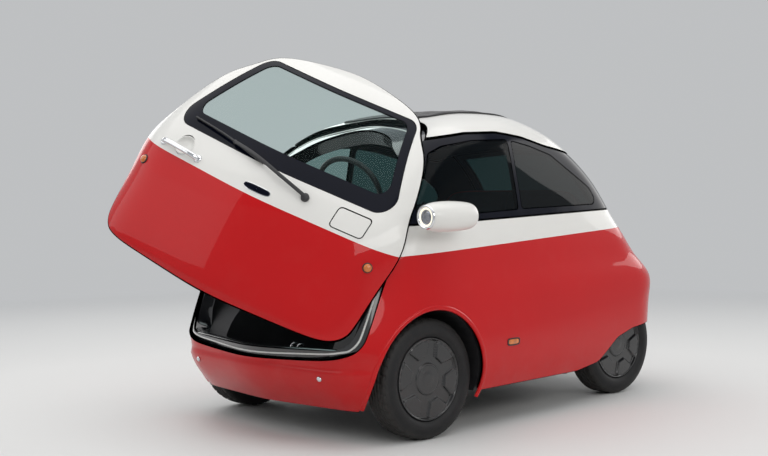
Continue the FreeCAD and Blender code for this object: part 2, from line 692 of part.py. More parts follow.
def gooseneck(s, length, start, end):
    """Arm from the hinge barrel inwards, then round to the door's inner wall; angles in degrees."""
    stations = [on_axis(s)]
    for r, a in ((length, start), (length + 6, (start + end) / 2), (length, end)):
        stations.append(on_axis(s, r * math.cos(math.radians(a)), r * math.sin(math.radians(a))))
    arm = rod_path(9, stations, 8)
    barrel = cylinder(14, on_axis(s - 20), on_axis(s + 20))
    return barrel.fuse(arm).cut(cylinder(7.3, on_axis(s - 30), on_axis(s + 30))).common(INNER)


def bracket(s, inward):
    """Fork on the body that carries the hinge pin."""
    parts = cylinder(7, on_axis(s - 34), on_axis(s + 34))
    for e in (-34, 24):
        parts = parts.fuse(cylinder(14, on_axis(s + e), on_axis(s + e + 10)))
        parts = parts.fuse(rod_path(8, [on_axis(s + e + 5), on_axis(s + e + 5, -60, inward)], 8))
    return parts.common(INNER).removeSplitter()


def edge_drum():
    """Solid about the door's axis that reaches 6 mm past the body's outer edge of the opening."""
    stations = []
    for z in range(640, 1240, 50):
        line = door_face(0).common(Part.makeLine(V(0, 0, z), V(2000, 0, z)))
        x = min(v.X for v in line.Vertexes)
        across = OUTER.common(Part.makeLine(V(x, 0, z), V(x, 1200, z)))
        p = V(x, max(v.Y for v in across.Vertexes), z) - DOOR_AXIS_POINT
        s = p.dot(AXIS_U)
        stations.append((s, (p - AXIS_U * s).Length + EDGE_CLEAR))
    stations.sort()
    rings = []
    for s, r in stations:
        ring = []
        for k in range(60):
            a = 2 * math.pi * k / 60
            ring.append(on_axis(s, r * math.cos(a), r * math.sin(a)))
        rings.append(ring)
    return stacked(rings)


door["hinge_arms"] = Part.makeCompound([gooseneck(20, 100, -68, -5), gooseneck(330, 169, -73, -12)])
brackets = [bracket(20, 52), bracket(330, 62)]
DRUM = edge_drum()
for name in ("door_lower", "door_upper"):
    door[name] = largest(door[name].cut(DRUM))

# Hatch hinges on the head line, lamps, studs and markers.
HEAD_IN = V(0.77, 0, -0.64)


barrels, knuckles = [], []
for y in (-170, 170):
    centre = V(HATCH_AXIS.x, y, HATCH_AXIS.z)
    across = V(0, 1, 0)
    for e in (-24, 8):
        leaf = cylinder(6, centre + across * e, centre + across * (e + 16))
        foot = box(-2, 44, e, e + 16, -11, 0)
        foot.rotate(V(0, 0, 0), V(0, 1, 0), -39)
        foot.translate(centre + HEAD_IN * 1.0)
        barrels.append(leaf.fuse(foot).cut(OUTER).removeSplitter())
    knuckle_mid = cylinder(6, centre - across * 7.7, centre + across * 7.7)
    tongue = box(-40, -3, -7.7, 7.7, -12, 0)
    tongue.rotate(V(0, 0, 0), V(0, 1, 0), -52)
    tongue.translate(centre + HEAD_IN * 1.0)
    knuckles.append(knuckle_mid.fuse(tongue).cut(OUTER).removeSplitter())
NODES["hatch_knuckles"] = Part.makeCompound(knuckles)
NODES["hinge_pins"] = Part.makeCompound(brackets + barrels)
tails = []
for y in (-330, 330):
    tails.append(skin_pad(y, 730, 150, 36, 4.0, 2.0, 17, True).cut(OUTER))
NODES["tail_lamps"] = Part.makeCompound(tails)
studs = []
for y in (-455, 455):
    p, n = skin_frame(y, 288)
    studs.append(cylinder(12, p - n * 2, p + n * 10).cut(OUTER))
NODES["bumper_studs"] = Part.makeCompound(studs)
marker = box(216, 306, 600, 760, 366, 400).common(body_skin(-4.0)).cut(OUTER)
NODES["side_markers"] = both_sides(largest(marker))
NODES["lamp_rings"] = both_sides(tube(48, 40, V(POD_X, POD_Y, POD_Z), V(POD_X + 8, POD_Y, POD_Z)))
NODES["lamp_lenses"] = both_sides(cylinder(39.6, V(POD_X, POD_Y, POD_Z), V(POD_X + 5, POD_Y, POD_Z)))
NODES["mirror_glasses"] = both_sides(cylinder(46, V(POD_X - 266, POD_Y, POD_Z), V(POD_X - 262, POD_Y, POD_Z)))
pedals = []
for y in (110, 200):
    stalk = rod_path(7, [V(1010, y, 190), V(1005, y, 300), V(950, y, 262)])
    pad = box(936, 948, y - 30, y + 30, 225, 300)
    pedals.append(stalk.fuse(pad).common(box(900, 1100, 0, 400, 194, 400)).removeSplitter())
NODES["pedals"] = Part.makeCompound(pedals)
for x in (-250, 380):
    for y in (-560, 560):
        NODES["floor_pan"] = NODES["floor_pan"].fuse(cylinder(30, V(x, y, 168), V(x, y, 180)))
NODES["floor_pan"] = NODES["floor_pan"].removeSplitter()

for name, shape in door.items():
    shape = shape.copy()
    shape.rotate(DOOR_AXIS_POINT, DOOR_AXIS, DOOR_OPEN_DEG)
    NODES[name] = shape

os.makedirs("parts", exist_ok=True)
for name, shape in NODES.items():
    shape = shape.copy()
    shape.translate(V(-CENTRE_X, 0, 0))
    shape.exportStep("parts/%s.step" % name)
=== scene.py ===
"""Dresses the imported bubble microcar: painted skins, glass, cabin, wheels, finishes and studio."""
from __future__ import annotations

import json
import logging
import math
from dataclasses import dataclass, field
from enum import Enum
from typing import Callable, Iterable, Sequence

import bpy
import numpy as np
from mathutils import Matrix, Vector
from mathutils.bvhtree import BVHTree
from mathutils.geometry import delaunay_2d_cdt

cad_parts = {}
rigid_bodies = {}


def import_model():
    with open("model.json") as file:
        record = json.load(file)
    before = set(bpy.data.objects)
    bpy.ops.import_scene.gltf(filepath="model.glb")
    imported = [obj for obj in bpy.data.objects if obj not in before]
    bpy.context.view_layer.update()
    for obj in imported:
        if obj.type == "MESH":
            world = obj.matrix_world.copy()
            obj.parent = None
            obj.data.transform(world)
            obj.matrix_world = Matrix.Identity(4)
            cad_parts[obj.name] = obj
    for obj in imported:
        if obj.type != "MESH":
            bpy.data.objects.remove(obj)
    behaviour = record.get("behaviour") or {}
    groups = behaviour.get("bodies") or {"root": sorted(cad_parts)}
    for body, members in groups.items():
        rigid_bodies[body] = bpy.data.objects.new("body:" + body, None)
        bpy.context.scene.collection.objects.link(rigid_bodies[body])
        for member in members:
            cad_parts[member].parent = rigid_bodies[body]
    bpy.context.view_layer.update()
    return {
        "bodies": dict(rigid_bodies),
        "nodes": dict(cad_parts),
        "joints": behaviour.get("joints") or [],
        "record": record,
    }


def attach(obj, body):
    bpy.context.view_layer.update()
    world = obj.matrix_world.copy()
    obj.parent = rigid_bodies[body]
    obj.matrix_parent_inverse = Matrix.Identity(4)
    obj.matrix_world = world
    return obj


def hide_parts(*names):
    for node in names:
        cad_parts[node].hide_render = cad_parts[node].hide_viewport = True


LOG = logging.getLogger("microcar")
Array = np.ndarray
Point2 = tuple[float, float]
Colour = tuple[float, float, float]

# The car is drawn about the point midway between its axles, then carried to the frame's origin.
MIDDLE_X = 0.2755
TO_FRAME = Matrix.Translation((-MIDDLE_X, 0.0, 0.0))
DOOR_PIVOT = Vector((0.9345, 0.6392, 0.75))
DOOR_AXIS = Vector((-0.651, -0.1555, 0.7429)).normalized()
DOOR_OPEN = math.radians(36.3)
DOOR_TURN = (TO_FRAME @ Matrix.Translation(DOOR_PIVOT) @ Matrix.Rotation(DOOR_OPEN, 4, DOOR_AXIS)
             @ Matrix.Translation(-DOOR_PIVOT))
AXLE_X = 0.775
WHEEL_R = 0.2635
# Regions drawn in the front view are looked for ahead of this place, in metres.
NOSE_FROM = 0.42
ALONG_X, ALONG_Z = np.array([1.0, 0.0, 0.0]), np.array([0.0, 0.0, 1.0])


class Body(Enum):
    """Moving bodies of the frame that pieces ride on."""

    SHELL = "body"
    DOOR = "door"
    FLAP = "charge_flap"
    STEERING = "steering_wheel"
    HATCH = "hatch"


# ---------------------------------------------------------------- shader helpers


class Value:
    """A shader socket that takes part in arithmetic."""

    def __init__(self, tree: bpy.types.NodeTree, socket: bpy.types.NodeSocket) -> None:
        """Keeps the node tree and the output socket."""
        self.tree = tree
        self.socket = socket

    def _math(self, operation: str, first: object, second: object = None) -> Value:
        """Adds one Math node.

        Args:
            operation: The node's operation.
            first: A Value or number.
            second: A Value or number, or None.

        Returns:
            The node's result.
        """
        node = self.tree.nodes.new("ShaderNodeMath")
        node.operation = operation
        for slot, item in zip(node.inputs, (first, second)):
            if isinstance(item, Value):
                self.tree.links.new(item.socket, slot)
            elif item is not None:
                slot.default_value = float(item)
        return Value(self.tree, node.outputs[0])

    def __add__(self, other: object) -> Value:
        """Sum."""
        return self._math("ADD", self, other)

    __radd__ = __add__

    def __sub__(self, other: object) -> Value:
        """Difference."""
        return self._math("SUBTRACT", self, other)

    def __rsub__(self, other: object) -> Value:
        """Difference with the number first."""
        return self._math("SUBTRACT", other, self)

    def __mul__(self, other: object) -> Value:
        """Product."""
        return self._math("MULTIPLY", self, other)

    __rmul__ = __mul__

    def __truediv__(self, other: object) -> Value:
        """Quotient."""
        return self._math("DIVIDE", self, other)

    def __rtruediv__(self, other: object) -> Value:
        """Quotient with the number first."""
        return self._math("DIVIDE", other, self)

    def __pow__(self, other: object) -> Value:
        """Power."""
        return self._math("POWER", self, other)

    def __rpow__(self, other: object) -> Value:
        """Power of a number."""
        return self._math("POWER", other, self)

    def smallest(self, other: object) -> Value:
        """The lesser of the two."""
        return self._math("MINIMUM", self, other)

    def largest(self, other: object) -> Value:
        """The greater of the two."""
        return self._math("MAXIMUM", self, other)

    def sine(self) -> Value:
        """Sine of the value."""
        return self._math("SINE", self)

    def ramp(self, low: float, high: float) -> Value:
        """Nought below low, one above high, straight between."""
        return ((self - low) / (high - low)).largest(0.0).smallest(1.0)


class Shader:
    """One material and the means to add nodes to it."""

    def __init__(self, name: str) -> None:
        """Starts an empty node material."""
        self.material = bpy.data.materials.new(name)
        self.material.use_nodes = True
        self.tree = self.material.node_tree
        self.tree.nodes.clear()
        self.output = self.tree.nodes.new("ShaderNodeOutputMaterial")

    def _fill(self, slot: bpy.types.NodeSocket, item: object) -> None:
        """Links or sets one input; a colour of three numbers gets its alpha."""
        if isinstance(item, Value):
            item = item.socket
        if isinstance(item, bpy.types.NodeSocket):
            self.tree.links.new(item, slot)
        elif item is not None:
            slot.default_value = (*item, 1.0) if slot.type == "RGBA" and len(item) == 3 else item

    def node(self, kind: str, settings: dict | None = None, *ordered: object,
             **named: object) -> bpy.types.Node:
        """Adds one node.

        Args:
            kind: The node's type without its ShaderNode prefix.
            settings: Settings of the node, set before its inputs.
            *ordered: Values or links of its first enabled inputs.
            **named: Values or links by input name, with _ for a space.

        Returns:
            The node.
        """
        node = self.tree.nodes.new("ShaderNode" + kind)
        for key, item in (settings or {}).items():
            setattr(node, key, item)
        slots = [s for s in node.inputs if s.enabled]
        for slot, item in zip(slots, ordered):
            self._fill(slot, item)
        for key, item in named.items():
            self._fill(next(s for s in slots if s.name == key.replace("_", " ")), item)
        return node

    def value(self, node: bpy.types.Node, output: str | int = 0) -> Value:
        """Wraps an output of a node as a Value."""
        return Value(self.tree, node.outputs[output])

    def place(self) -> bpy.types.NodeSocket:
        """Object coordinates, in metres."""
        return self.node("TexCoord").outputs["Object"]

    def axes(self) -> list[Value]:
        """The three object coordinates, in metres."""
        split = self.node("SeparateXYZ", None, self.place())
        return [self.value(split, k) for k in range(3)]

    def noise(self, scale: float, detail: float = 3.0, rough: float = 0.5,
              stretch: Sequence[float] | None = None) -> Value:
        """Noise over the object's own coordinates.

        Args:
            scale: Waves a metre.
            detail: Octaves.
            rough: Weight of the finer octaves.
            stretch: Scale along each axis, or None.

        Returns:
            Noise from nought to one.
        """
        where = self.place()
        if stretch is not None:
            where = self.node("VectorMath", {"operation": "MULTIPLY"}, where, stretch).outputs[0]
        return self.value(self.node("TexNoise", None, Vector=where, Scale=scale, Detail=detail,
                                    Roughness=rough))

    def blend(self, factor: Value | float, first: object, second: object) -> bpy.types.NodeSocket:
        """Colour between first and second.

        Args:
            factor: Nought gives first, one gives second.
            first: Colour or socket.
            second: Colour or socket.

        Returns:
            The mixed colour's socket.
        """
        return self.node("Mix", {"data_type": "RGBA"}, factor, first, second).outputs[2]

    def bump(self, height: Value, distance: float, strength: float = 1.0) -> bpy.types.NodeSocket:
        """Normal from a height in the unit range and its depth in metres."""
        return self.node("Bump", None, Height=height, Distance=distance, Strength=strength).outputs[0]

    def show(self, node: bpy.types.Node) -> None:
        """Joins a shader to the material's output."""
        self.tree.links.new(node.outputs[0], self.output.inputs[0])

    def surface(self, **sockets: object) -> None:
        """Principled surface joined to the output."""
        self.show(self.node("BsdfPrincipled", None, **sockets))


def shade(colour: Colour, share: float) -> Colour:
    """The colour at a share of its strength."""
    return tuple(c * share for c in colour)


# ---------------------------------------------------------------- finishes


@dataclass(frozen=True)
class Finish:
    """A finish with its name and main colour."""

    name: str
    colour: Colour

    def dress(self, s: Shader) -> None:
        """Adds the finish's nodes to its shader."""
        raise NotImplementedError

    def make(self) -> bpy.types.Material:
        """Builds the material."""
        s = Shader(self.name)
        self.dress(s)
        return s.material


@dataclass(frozen=True)
class Paint(Finish):
    """Clear-coated body paint with fine orange peel and a little road dust low down."""

    dust: float = 0.1
    roughness: float = 0.32

    def dress(self, s: Shader) -> None:
        """Adds dust that thins with height, slow colour drift and peel."""
        film, grit = s.noise(7.0, 5.0, 0.6), s.noise(260.0, 3.0, 0.6)
        low = 1.0 - s.axes()[2].ramp(0.12, 0.42)
        dusty = (low * film.ramp(0.35, 0.8) * self.dust + film.ramp(0.55, 0.9) * 0.02) * (grit * 0.6 + 0.7)
        base = s.blend(s.noise(3.0, 2.0), shade(self.colour, 0.93), self.colour)
        s.surface(Base_Color=s.blend(dusty, base, (0.42, 0.38, 0.33)), Roughness=dusty * 0.5 + self.roughness,
                  Normal=s.bump(s.noise(420.0, 1.0), 0.00002, 0.35), Coat_Weight=0.75 - dusty * 2.0,
                  Coat_Roughness=0.02, Coat_IOR=1.4, Specular_IOR_Level=0.06)


@dataclass(frozen=True)
class Plastic(Finish):
    """Moulded plastic or rubber with its grain."""

    roughness: float = 0.5
    grain: float = 900.0
    depth: float = 0.00008
    worn: float = 0.04
    coat: float = 0.0
    shine: float = 0.5

    def dress(self, s: Shader) -> None:
        """Adds grain and paler, duller patches."""
        cloud = s.noise(14.0, 4.0, 0.6)
        lift = tuple(c + self.worn * (0.5 + c) for c in self.colour)
        s.surface(Base_Color=s.blend(cloud.ramp(0.35, 0.85), self.colour, lift),
                  Roughness=cloud * 0.16 + (self.roughness - 0.08),
                  Normal=s.bump(s.noise(self.grain, 2.0), self.depth, 0.5),
                  Coat_Weight=self.coat, Coat_Roughness=0.04, Specular_IOR_Level=self.shine)


@dataclass(frozen=True)
class Metal(Finish):
    """Plated or bare metal with faint smears."""

    roughness: float = 0.06
    smear: float = 0.1

    def dress(self, s: Shader) -> None:
        """Adds smears, duller and darker."""
        cloud = s.noise(40.0, 4.0, 0.65)
        s.surface(Base_Color=s.blend(cloud.ramp(0.4, 0.9), self.colour, shade(self.colour, 0.82)),
                  Metallic=1.0, Roughness=cloud.ramp(0.35, 0.9) * self.smear + self.roughness)


@dataclass(frozen=True)
class Glass(Finish):
    """Thin window glass: tint seen through it, with a mirror film that grows at a low angle."""

    through: Colour = (1.0, 1.0, 1.0)
    film: float = 0.06
    shine: float = 0.5

    def dress(self, s: Shader) -> None:
        """Mixes the clear pane and its glossy face."""
        streak = s.noise(5.0, 4.0, 0.6, (1.0, 1.0, 0.3))
        face = s.node("BsdfPrincipled", None, Base_Color=s.blend(streak, self.colour,
                                                                 shade(self.colour, 0.8)),
                      Roughness=streak * 0.02 + 0.01, Specular_IOR_Level=self.shine)
        clear = s.node("BsdfTransparent", None, self.through)
        facing = s.value(s.node("LayerWeight", None, Blend=0.5), "Facing")
        weight = (facing ** 3.5) * 0.6 + self.film + streak * 0.02
        s.show(s.node("MixShader", None, weight.smallest(1.0), clear.outputs[0], face.outputs[0]))


@dataclass(frozen=True)
class Cloth(Finish):
    """Woven cloth: two sets of threads that pass over and under."""

    thread: float = 0.0016
    roughness: float = 0.85
    sheen: float = 0.3

    def dress(self, s: Shader) -> None:
        """Adds the weave and its uneven colour."""
        x, y, z = s.axes()
        turn = math.pi / self.thread
        weave = (x * turn + z * turn * 0.6).sine() * (y * turn + z * turn * 0.8).sine() * 0.5 + 0.5
        cloud = s.noise(9.0, 5.0, 0.65)
        pale = tuple(c * 1.25 + 0.012 for c in self.colour)
        s.surface(Base_Color=s.blend((weave * 0.5 + cloud * 0.6).smallest(1.0), shade(self.colour, 0.72),
                                     pale),
                  Roughness=cloud * 0.15 + (self.roughness - 0.08),
                  Normal=s.bump(weave + cloud * 0.6, 0.00035, 0.7), Sheen_Weight=self.sheen,
                  Sheen_Roughness=0.4)


@dataclass(frozen=True)
class Lens(Finish):
    """Coloured lamp lens with fine ribs behind a glossy face."""

    glow: float = 0.12
    rib: float = 0.004

    def dress(self, s: Shader) -> None:
        """Adds the ribs both ways."""
        across, up = ((axis * (2 * math.pi / self.rib)).sine() * 0.5 + 0.5 for axis in s.axes()[1:])
        cell = across * up
        colour = s.blend(cell, shade(self.colour, 0.55), self.colour)
        s.surface(Base_Color=colour, Roughness=cell * 0.1 + 0.12, Emission_Color=colour,
                  Emission_Strength=self.glow, Normal=s.bump(cell, 0.0004, 0.5), Coat_Weight=1.0,
                  Coat_Roughness=0.02)


@dataclass(frozen=True)
class LampGlow(Finish):
    """White light strip that glows softly."""

    strength: float = 1.2

    def dress(self, s: Shader) -> None:
        """Adds the strip's fine cells."""
        cells = s.noise(300.0, 1.0)
        colour = s.blend(cells, shade(self.colour, 0.9), self.colour)
        s.surface(Base_Color=colour, Roughness=cells * 0.1 + 0.3, Emission_Color=colour,
                  Emission_Strength=self.strength)


@dataclass(frozen=True)
class Rubber(Finish):
    """Tyre rubber, dustier on the tread."""

    def dress(self, s: Shader) -> None:
        """Adds dust towards the tread."""
        x, _, z = s.axes()
        reach = (x * x + z * z) ** 0.5
        dusty = reach.ramp(0.235, 0.264) * 0.28 + s.noise(20.0, 5.0, 0.65).ramp(0.4, 0.9) * 0.18
        s.surface(Base_Color=s.blend(dusty * s.noise(160.0, 3.0), self.colour, (0.13, 0.12, 0.105)),
                  Roughness=dusty * 0.2 + 0.55, Specular_IOR_Level=0.32,
                  Normal=s.bump(s.noise(700.0, 2.0), 0.0001, 0.6))


class Finishes:
    """Every finish of the car, made once and fetched by name."""

    KINDS = (
        Paint("red_paint", (0.56, 0.003, 0.005)),
        Paint("white_paint", (0.82, 0.815, 0.785), dust=0.04),
        Plastic("black_gloss", (0.001, 0.002, 0.008), 0.14, 500.0, 0.00001, 0.001, 0.0, 0.12),
        Plastic("tub_gloss", (0.006, 0.0065, 0.008), 0.16, 300.0, 0.00001, 0.004, 1.0),
        Plastic("black_trim", (0.018, 0.018, 0.02), 0.48, 1200.0, 0.00008, 0.02),
        Plastic("grey_trim", (0.055, 0.057, 0.062), 0.55, 1100.0, 0.0001, 0.03),
        Plastic("cabin_lining", (0.03, 0.031, 0.034), 0.62, 800.0, 0.00015, 0.02),
        Plastic("floor_mat", (0.022, 0.022, 0.024), 0.88, 400.0, 0.0006, 0.03),
        # Pale seal: its own pale tone, lifted further as painted light against the shade under the opening's
        # overhang.
        Plastic("seal_rubber", (0.78, 0.78, 0.76), 0.35, 900.0, 0.00004, 0.03),
        Plastic("dark_rubber", (0.012, 0.012, 0.013), 0.62, 900.0, 0.00008, 0.02),
        Plastic("wheel_satin", (0.008, 0.008, 0.009), 0.24, 900.0, 0.00002, 0.004, 0.6, 0.5),
        Plastic("chassis_black", (0.026, 0.026, 0.028), 0.55, 250.0, 0.0003, 0.03),
        Plastic("plate_blank", (0.62, 0.62, 0.6), 0.5, 900.0, 0.00003, 0.02),
        Metal("chrome", (0.78, 0.79, 0.81)),
        Metal("mirror", (0.86, 0.87, 0.88), 0.01, 0.02),
        Metal("cast_case", (0.36, 0.37, 0.39), 0.38, 0.2),
        Metal("lamp_bowl", (0.3, 0.31, 0.33), 0.15, 0.1),
        Glass("clear_glass", (0.03, 0.06, 0.06), (0.8, 0.93, 0.91), 0.05),
        Glass("lamp_glass", (0.5, 0.52, 0.55), (0.96, 0.97, 1.0), 0.1),
        Glass("side_glass", (0.004, 0.007, 0.01), (0.4, 0.55, 0.54), 0.3, 0.25),
        Glass("dark_glass", (0.003, 0.005, 0.007), (0.1, 0.19, 0.19), 0.5, 0.25),
        Cloth("roof_cloth", (0.016, 0.016, 0.018), 0.0018),
        Cloth("seat_cloth", (0.05, 0.052, 0.058), 0.0022),
        Cloth("seat_trim", (0.28, 0.045, 0.04), 0.0016),
        Lens("amber_lens", (0.78, 0.2, 0.01)),
        Lens("red_lens", (0.42, 0.006, 0.008)),
        LampGlow("light_strip", (1.0, 0.93, 0.74), 0.9),
        Rubber("tyre_rubber", (0.009, 0.009, 0.01)),
    )

    def __init__(self) -> None:
        """Builds every material."""
        self.made = {kind.name: kind.make() for kind in self.KINDS}

    def __getitem__(self, name: str) -> bpy.types.Material:
        """The material of that name."""
        return self.made[name]


# ---------------------------------------------------------------- meshes


class Pattern:
    """A mesh while it is put together: points, their normals, faces and each face's finish."""

    def __init__(self) -> None:
        """Starts empty."""
        self.points: list[Array] = []
        self.normals: list[Array] = []
        self.faces: list[tuple[int, ...]] = []
        self.finish: list[int] = []
        self.count = 0

    def add(self, points: Array, normals: Array) -> int:
        """Adds points with normals, and returns the number of the first."""
        first = self.count
        self.points.append(np.asarray(points, float).reshape(-1, 3))
        self.normals.append(np.asarray(normals, float).reshape(-1, 3))
        self.count += len(self.points[-1])
        return first

    def face(self, corners: Iterable[int], finish: int = 0) -> None:
        """Adds one face."""
        self.faces.append(tuple(corners))
        self.finish.append(finish)

    def strip(self, low: int, high: int, count: int, finish: int = 0) -> None:
        """Joins two closed rows of points with quads.

        Args:
            low: First point of one row.
            high: First point of the other.
            count: Points in a row.
            finish: The faces' finish.
        """
        for k in range(count):
            m = (k + 1) % count
            self.face((low + k, low + m, high + m, high + k), finish)

    def rows(self, grid: Array, around: bool = False, along: bool = False, finish: int = 0) -> None:
        """Adds a grid of points as quads.

        Args:
            grid: Points, rows by columns by three.
            around: Whether each row closes on itself.
            along: Whether the last row joins the first.
            finish: The faces' finish.
        """
        grid = np.asarray(grid, float)
        n, m = grid.shape[:2]
        normals = np.cross(self._slope(grid, 0, along), self._slope(grid, 1, around))
        normals = normals / np.maximum(np.linalg.norm(normals, axis=2, keepdims=True), 1e-12)
        first = self.add(grid, normals)
        for i in range(n if along else n - 1):
            low, high = first + i * m, first + ((i + 1) % n) * m
            for k in range(m if around else m - 1):
                q = (k + 1) % m
                self.face((low + k, high + k, high + q, low + q), finish)

    @staticmethod
    def _slope(grid: Array, axis: int, closed: bool) -> Array:
        """Differences along an axis of a grid, wrapped where it closes."""
        if closed:
            return np.roll(grid, -1, axis) - np.roll(grid, 1, axis)
        return np.gradient(grid, axis=axis)

    def arrays(self) -> tuple[Array, Array]:
        """Points and normals as two arrays."""
        return np.concatenate(self.points), np.concatenate(self.normals)

    def take(self, other: Pattern, side: float = 1.0) -> Pattern:
        """Adds another mesh, mirrored across the car where side is -1, and returns this one."""
        points, normals = other.arrays()
        flip = np.array([1.0, side, 1.0])
        first = self.add(points * flip, normals * flip)
        for corners, finish in zip(other.faces, other.finish):
            self.face((first + c for c in (corners if side > 0 else reversed(corners))), finish)
        return self

    def split(self, value: Callable[[Array], Array]) -> tuple[Pattern, Pattern]:
        """Cuts the mesh where a value of its points changes sign.

        Args:
            value: Gives a number for each of many points.

        Returns:
            The part where the value is above nought, and the rest.
        """
        points, normals = self.arrays()
        level = value(points)
        level = np.where(np.abs(level) < 1e-7, 1e-7, level)
        extra_p: list[Array] = []
        extra_n: list[Array] = []
        seen: dict[tuple[int, int], int] = {}
        sides: tuple[list, list] = ([], [])

        def crossing(a: int, b: int) -> int:
            """Number of the point where the edge from a to b is cut."""
            key = (min(a, b), max(a, b))
            if key not in seen:
                i, j = key
                t = level[i] / (level[i] - level[j])
                seen[key] = len(points) + len(extra_p)
                extra_p.append(points[i] + (points[j] - points[i]) * t)
                extra_n.append(normals[i] + (normals[j] - normals[i]) * t)
            return seen[key]

        for corners, finish in zip(self.faces, self.finish):
            up = [level[c] > 0 for c in corners]
            if all(up):
                sides[0].append((corners, finish))
                continue
            if not any(up):
                sides[1].append((corners, finish))
                continue
            parts: tuple[list[int], list[int]] = ([], [])
            for k, a in enumerate(corners):
                b = corners[(k + 1) % len(corners)]
                parts[0 if level[a] > 0 else 1].append(a)
                if (level[a] > 0) != (level[b] > 0):
                    c = crossing(a, b)
                    parts[0].append(c)
                    parts[1].append(c)
            for side, loop in zip(sides, parts):
                if len(set(loop)) > 2:
                    side.append((tuple(loop), finish))
        if extra_p:
            points = np.concatenate([points, np.array(extra_p)])
            normals = np.concatenate([normals, np.array(extra_n)])
        made = []
        for side in sides:
            part = Pattern()
            used = np.unique(np.concatenate([np.array(c) for c, _ in side])) if side else np.zeros(0, int)
            number = np.full(len(points), -1)
            number[used] = np.arange(len(used))
            part.add(points[used], normals[used])
            for corners, finish in side:
                part.face((int(number[c]) for c in corners), finish)
            made.append(part)
        return made[0], made[1]

    def build(self, name: str, finishes: Sequence[bpy.types.Material], turn: Matrix = TO_FRAME,
              keep_normals: bool = True) -> bpy.types.Object:
        """Makes the object.

        Args:
            name: The piece's name.
            finishes: Materials by the faces' finish number.
            turn: Place in the frame.
            keep_normals: Whether the points' own normals shade it.

        Returns:
            The object, linked to the scene.
        """
        points, normals = self.arrays()
        matrix = np.array(turn)
        points = points @ matrix[:3, :3].T + matrix[:3, 3]
        normals = normals @ matrix[:3, :3].T
        normals /= np.maximum(np.linalg.norm(normals, axis=1, keepdims=True), 1e-9)
        mesh = bpy.data.meshes.new(name)
        mesh.from_pydata(points.tolist(), [], self.faces)
        for material in finishes:
            mesh.materials.append(material)
        mesh.polygons.foreach_set("material_index", self.finish)
        mesh.polygons.foreach_set("use_smooth", [True] * len(self.faces))
        mesh.update()
        if keep_normals:
            mesh.normals_split_custom_set_from_vertices(normals.tolist())
        made = bpy.data.objects.new(name, mesh)
        bpy.context.scene.collection.objects.link(made)
        return made


def piece(made: bpy.types.Object, body: Body | str, slot: str, *stands_for: str) -> bpy.types.Object:
    """Lets a piece ride a body and hides the nodes that it stands for.

    Args:
        made: The object.
        body: The body that it rides.
        slot: The record's material slot; not used.
        *stands_for: CAD nodes that it replaces.

    Returns:
        The object.
    """
    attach(made, body.value if isinstance(body, Body) else body)
    if stands_for:
        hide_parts(*stands_for)
    return made


@dataclass
class Assembly:
    """A sub-assembly of the car, with the finishes that dress it."""

    finishes: Finishes
    body = Body.SHELL
    turn = TO_FRAME

    def lay(self, pattern: Pattern, name: str, finish: str | Sequence[str], slot: str, *nodes: str,
            body: Body | None = None, keep_normals: bool = True) -> bpy.types.Object:
        """Makes a dressed piece from a pattern.

        Args:
            pattern: The mesh.
            name: The piece's name.
            finish: Its finish, or one for each finish number of its faces.
            slot: The record's material slot.
            *nodes: CAD nodes that it replaces.
            body: The body that it rides, or None for the assembly's own.
            keep_normals: Whether the points' own normals shade it.

        Returns:
            The object.
        """
        names = [finish] if isinstance(finish, str) else finish
        made = pattern.build(name, [self.finishes[n] for n in names], self.turn, keep_normals)
        return piece(made, body or self.body, slot, *nodes)


# ---------------------------------------------------------------- the body's form


def rounded(points: Sequence[Point2], radii: Sequence[float], step: float = 0.004) -> Array:
    """Closed outline with rounded corners.

    Args:
        points: Corners, anticlockwise, in metres.
        radii: Radius at each corner.
        step: Spacing of the points on a curve.

    Returns:
        The outline's points.
    """
    out: list[Array] = []
    for i, r in enumerate(radii):
        p, a, b = (np.array(points[j % len(points)], float) for j in (i, i - 1, i + 1))
        if r <= 0:
            out.append(p[None])
            continue
        u, w = (a - p) / np.linalg.norm(a - p), (b - p) / np.linalg.norm(b - p)
        half = math.acos(max(-1.0, min(1.0, float(u @ w)))) / 2
        centre = p + (u + w) / np.linalg.norm(u + w) * r / math.sin(half)
        start, end = p + u * r / math.tan(half) - centre, p + w * r / math.tan(half) - centre
        first = math.atan2(start[1], start[0])
        turn = (math.atan2(end[1], end[0]) - first + math.pi) % (2 * math.pi) - math.pi
        angles = first + np.linspace(0.0, 1.0, max(3, int(abs(turn) * r / step) + 2)) * turn
        out.append(centre + r * np.stack([np.cos(angles), np.sin(angles)], 1))
    return np.concatenate(out)


def unit(directions: Array) -> Array:
    """Directions brought to unit length."""
    return directions / np.linalg.norm(directions, axis=-1, keepdims=True)


def run_along(points: Array) -> Array:
    """How far along their row each of the points lies."""
    return np.concatenate([[0.0], np.cumsum(np.linalg.norm(np.diff(points, axis=0), axis=1))])


def sampled(points: Array, run: Array, wanted: Array) -> Array:
    """Points at the wanted places of a row whose points lie at run."""
    return np.stack([np.interp(wanted, run, column) for column in points.T], 1)


def crossed(p: Array, r: Array, a: Array, b: Array) -> Array:
    """Whether a line from each place (a, b) towards rising a crosses the one from p to r."""
    return ((p[1] > b) != (r[1] > b)) & (a < p[0] + (b - p[1]) * (r[0] - p[0]) / ((r[1] - p[1]) or 1e-12))


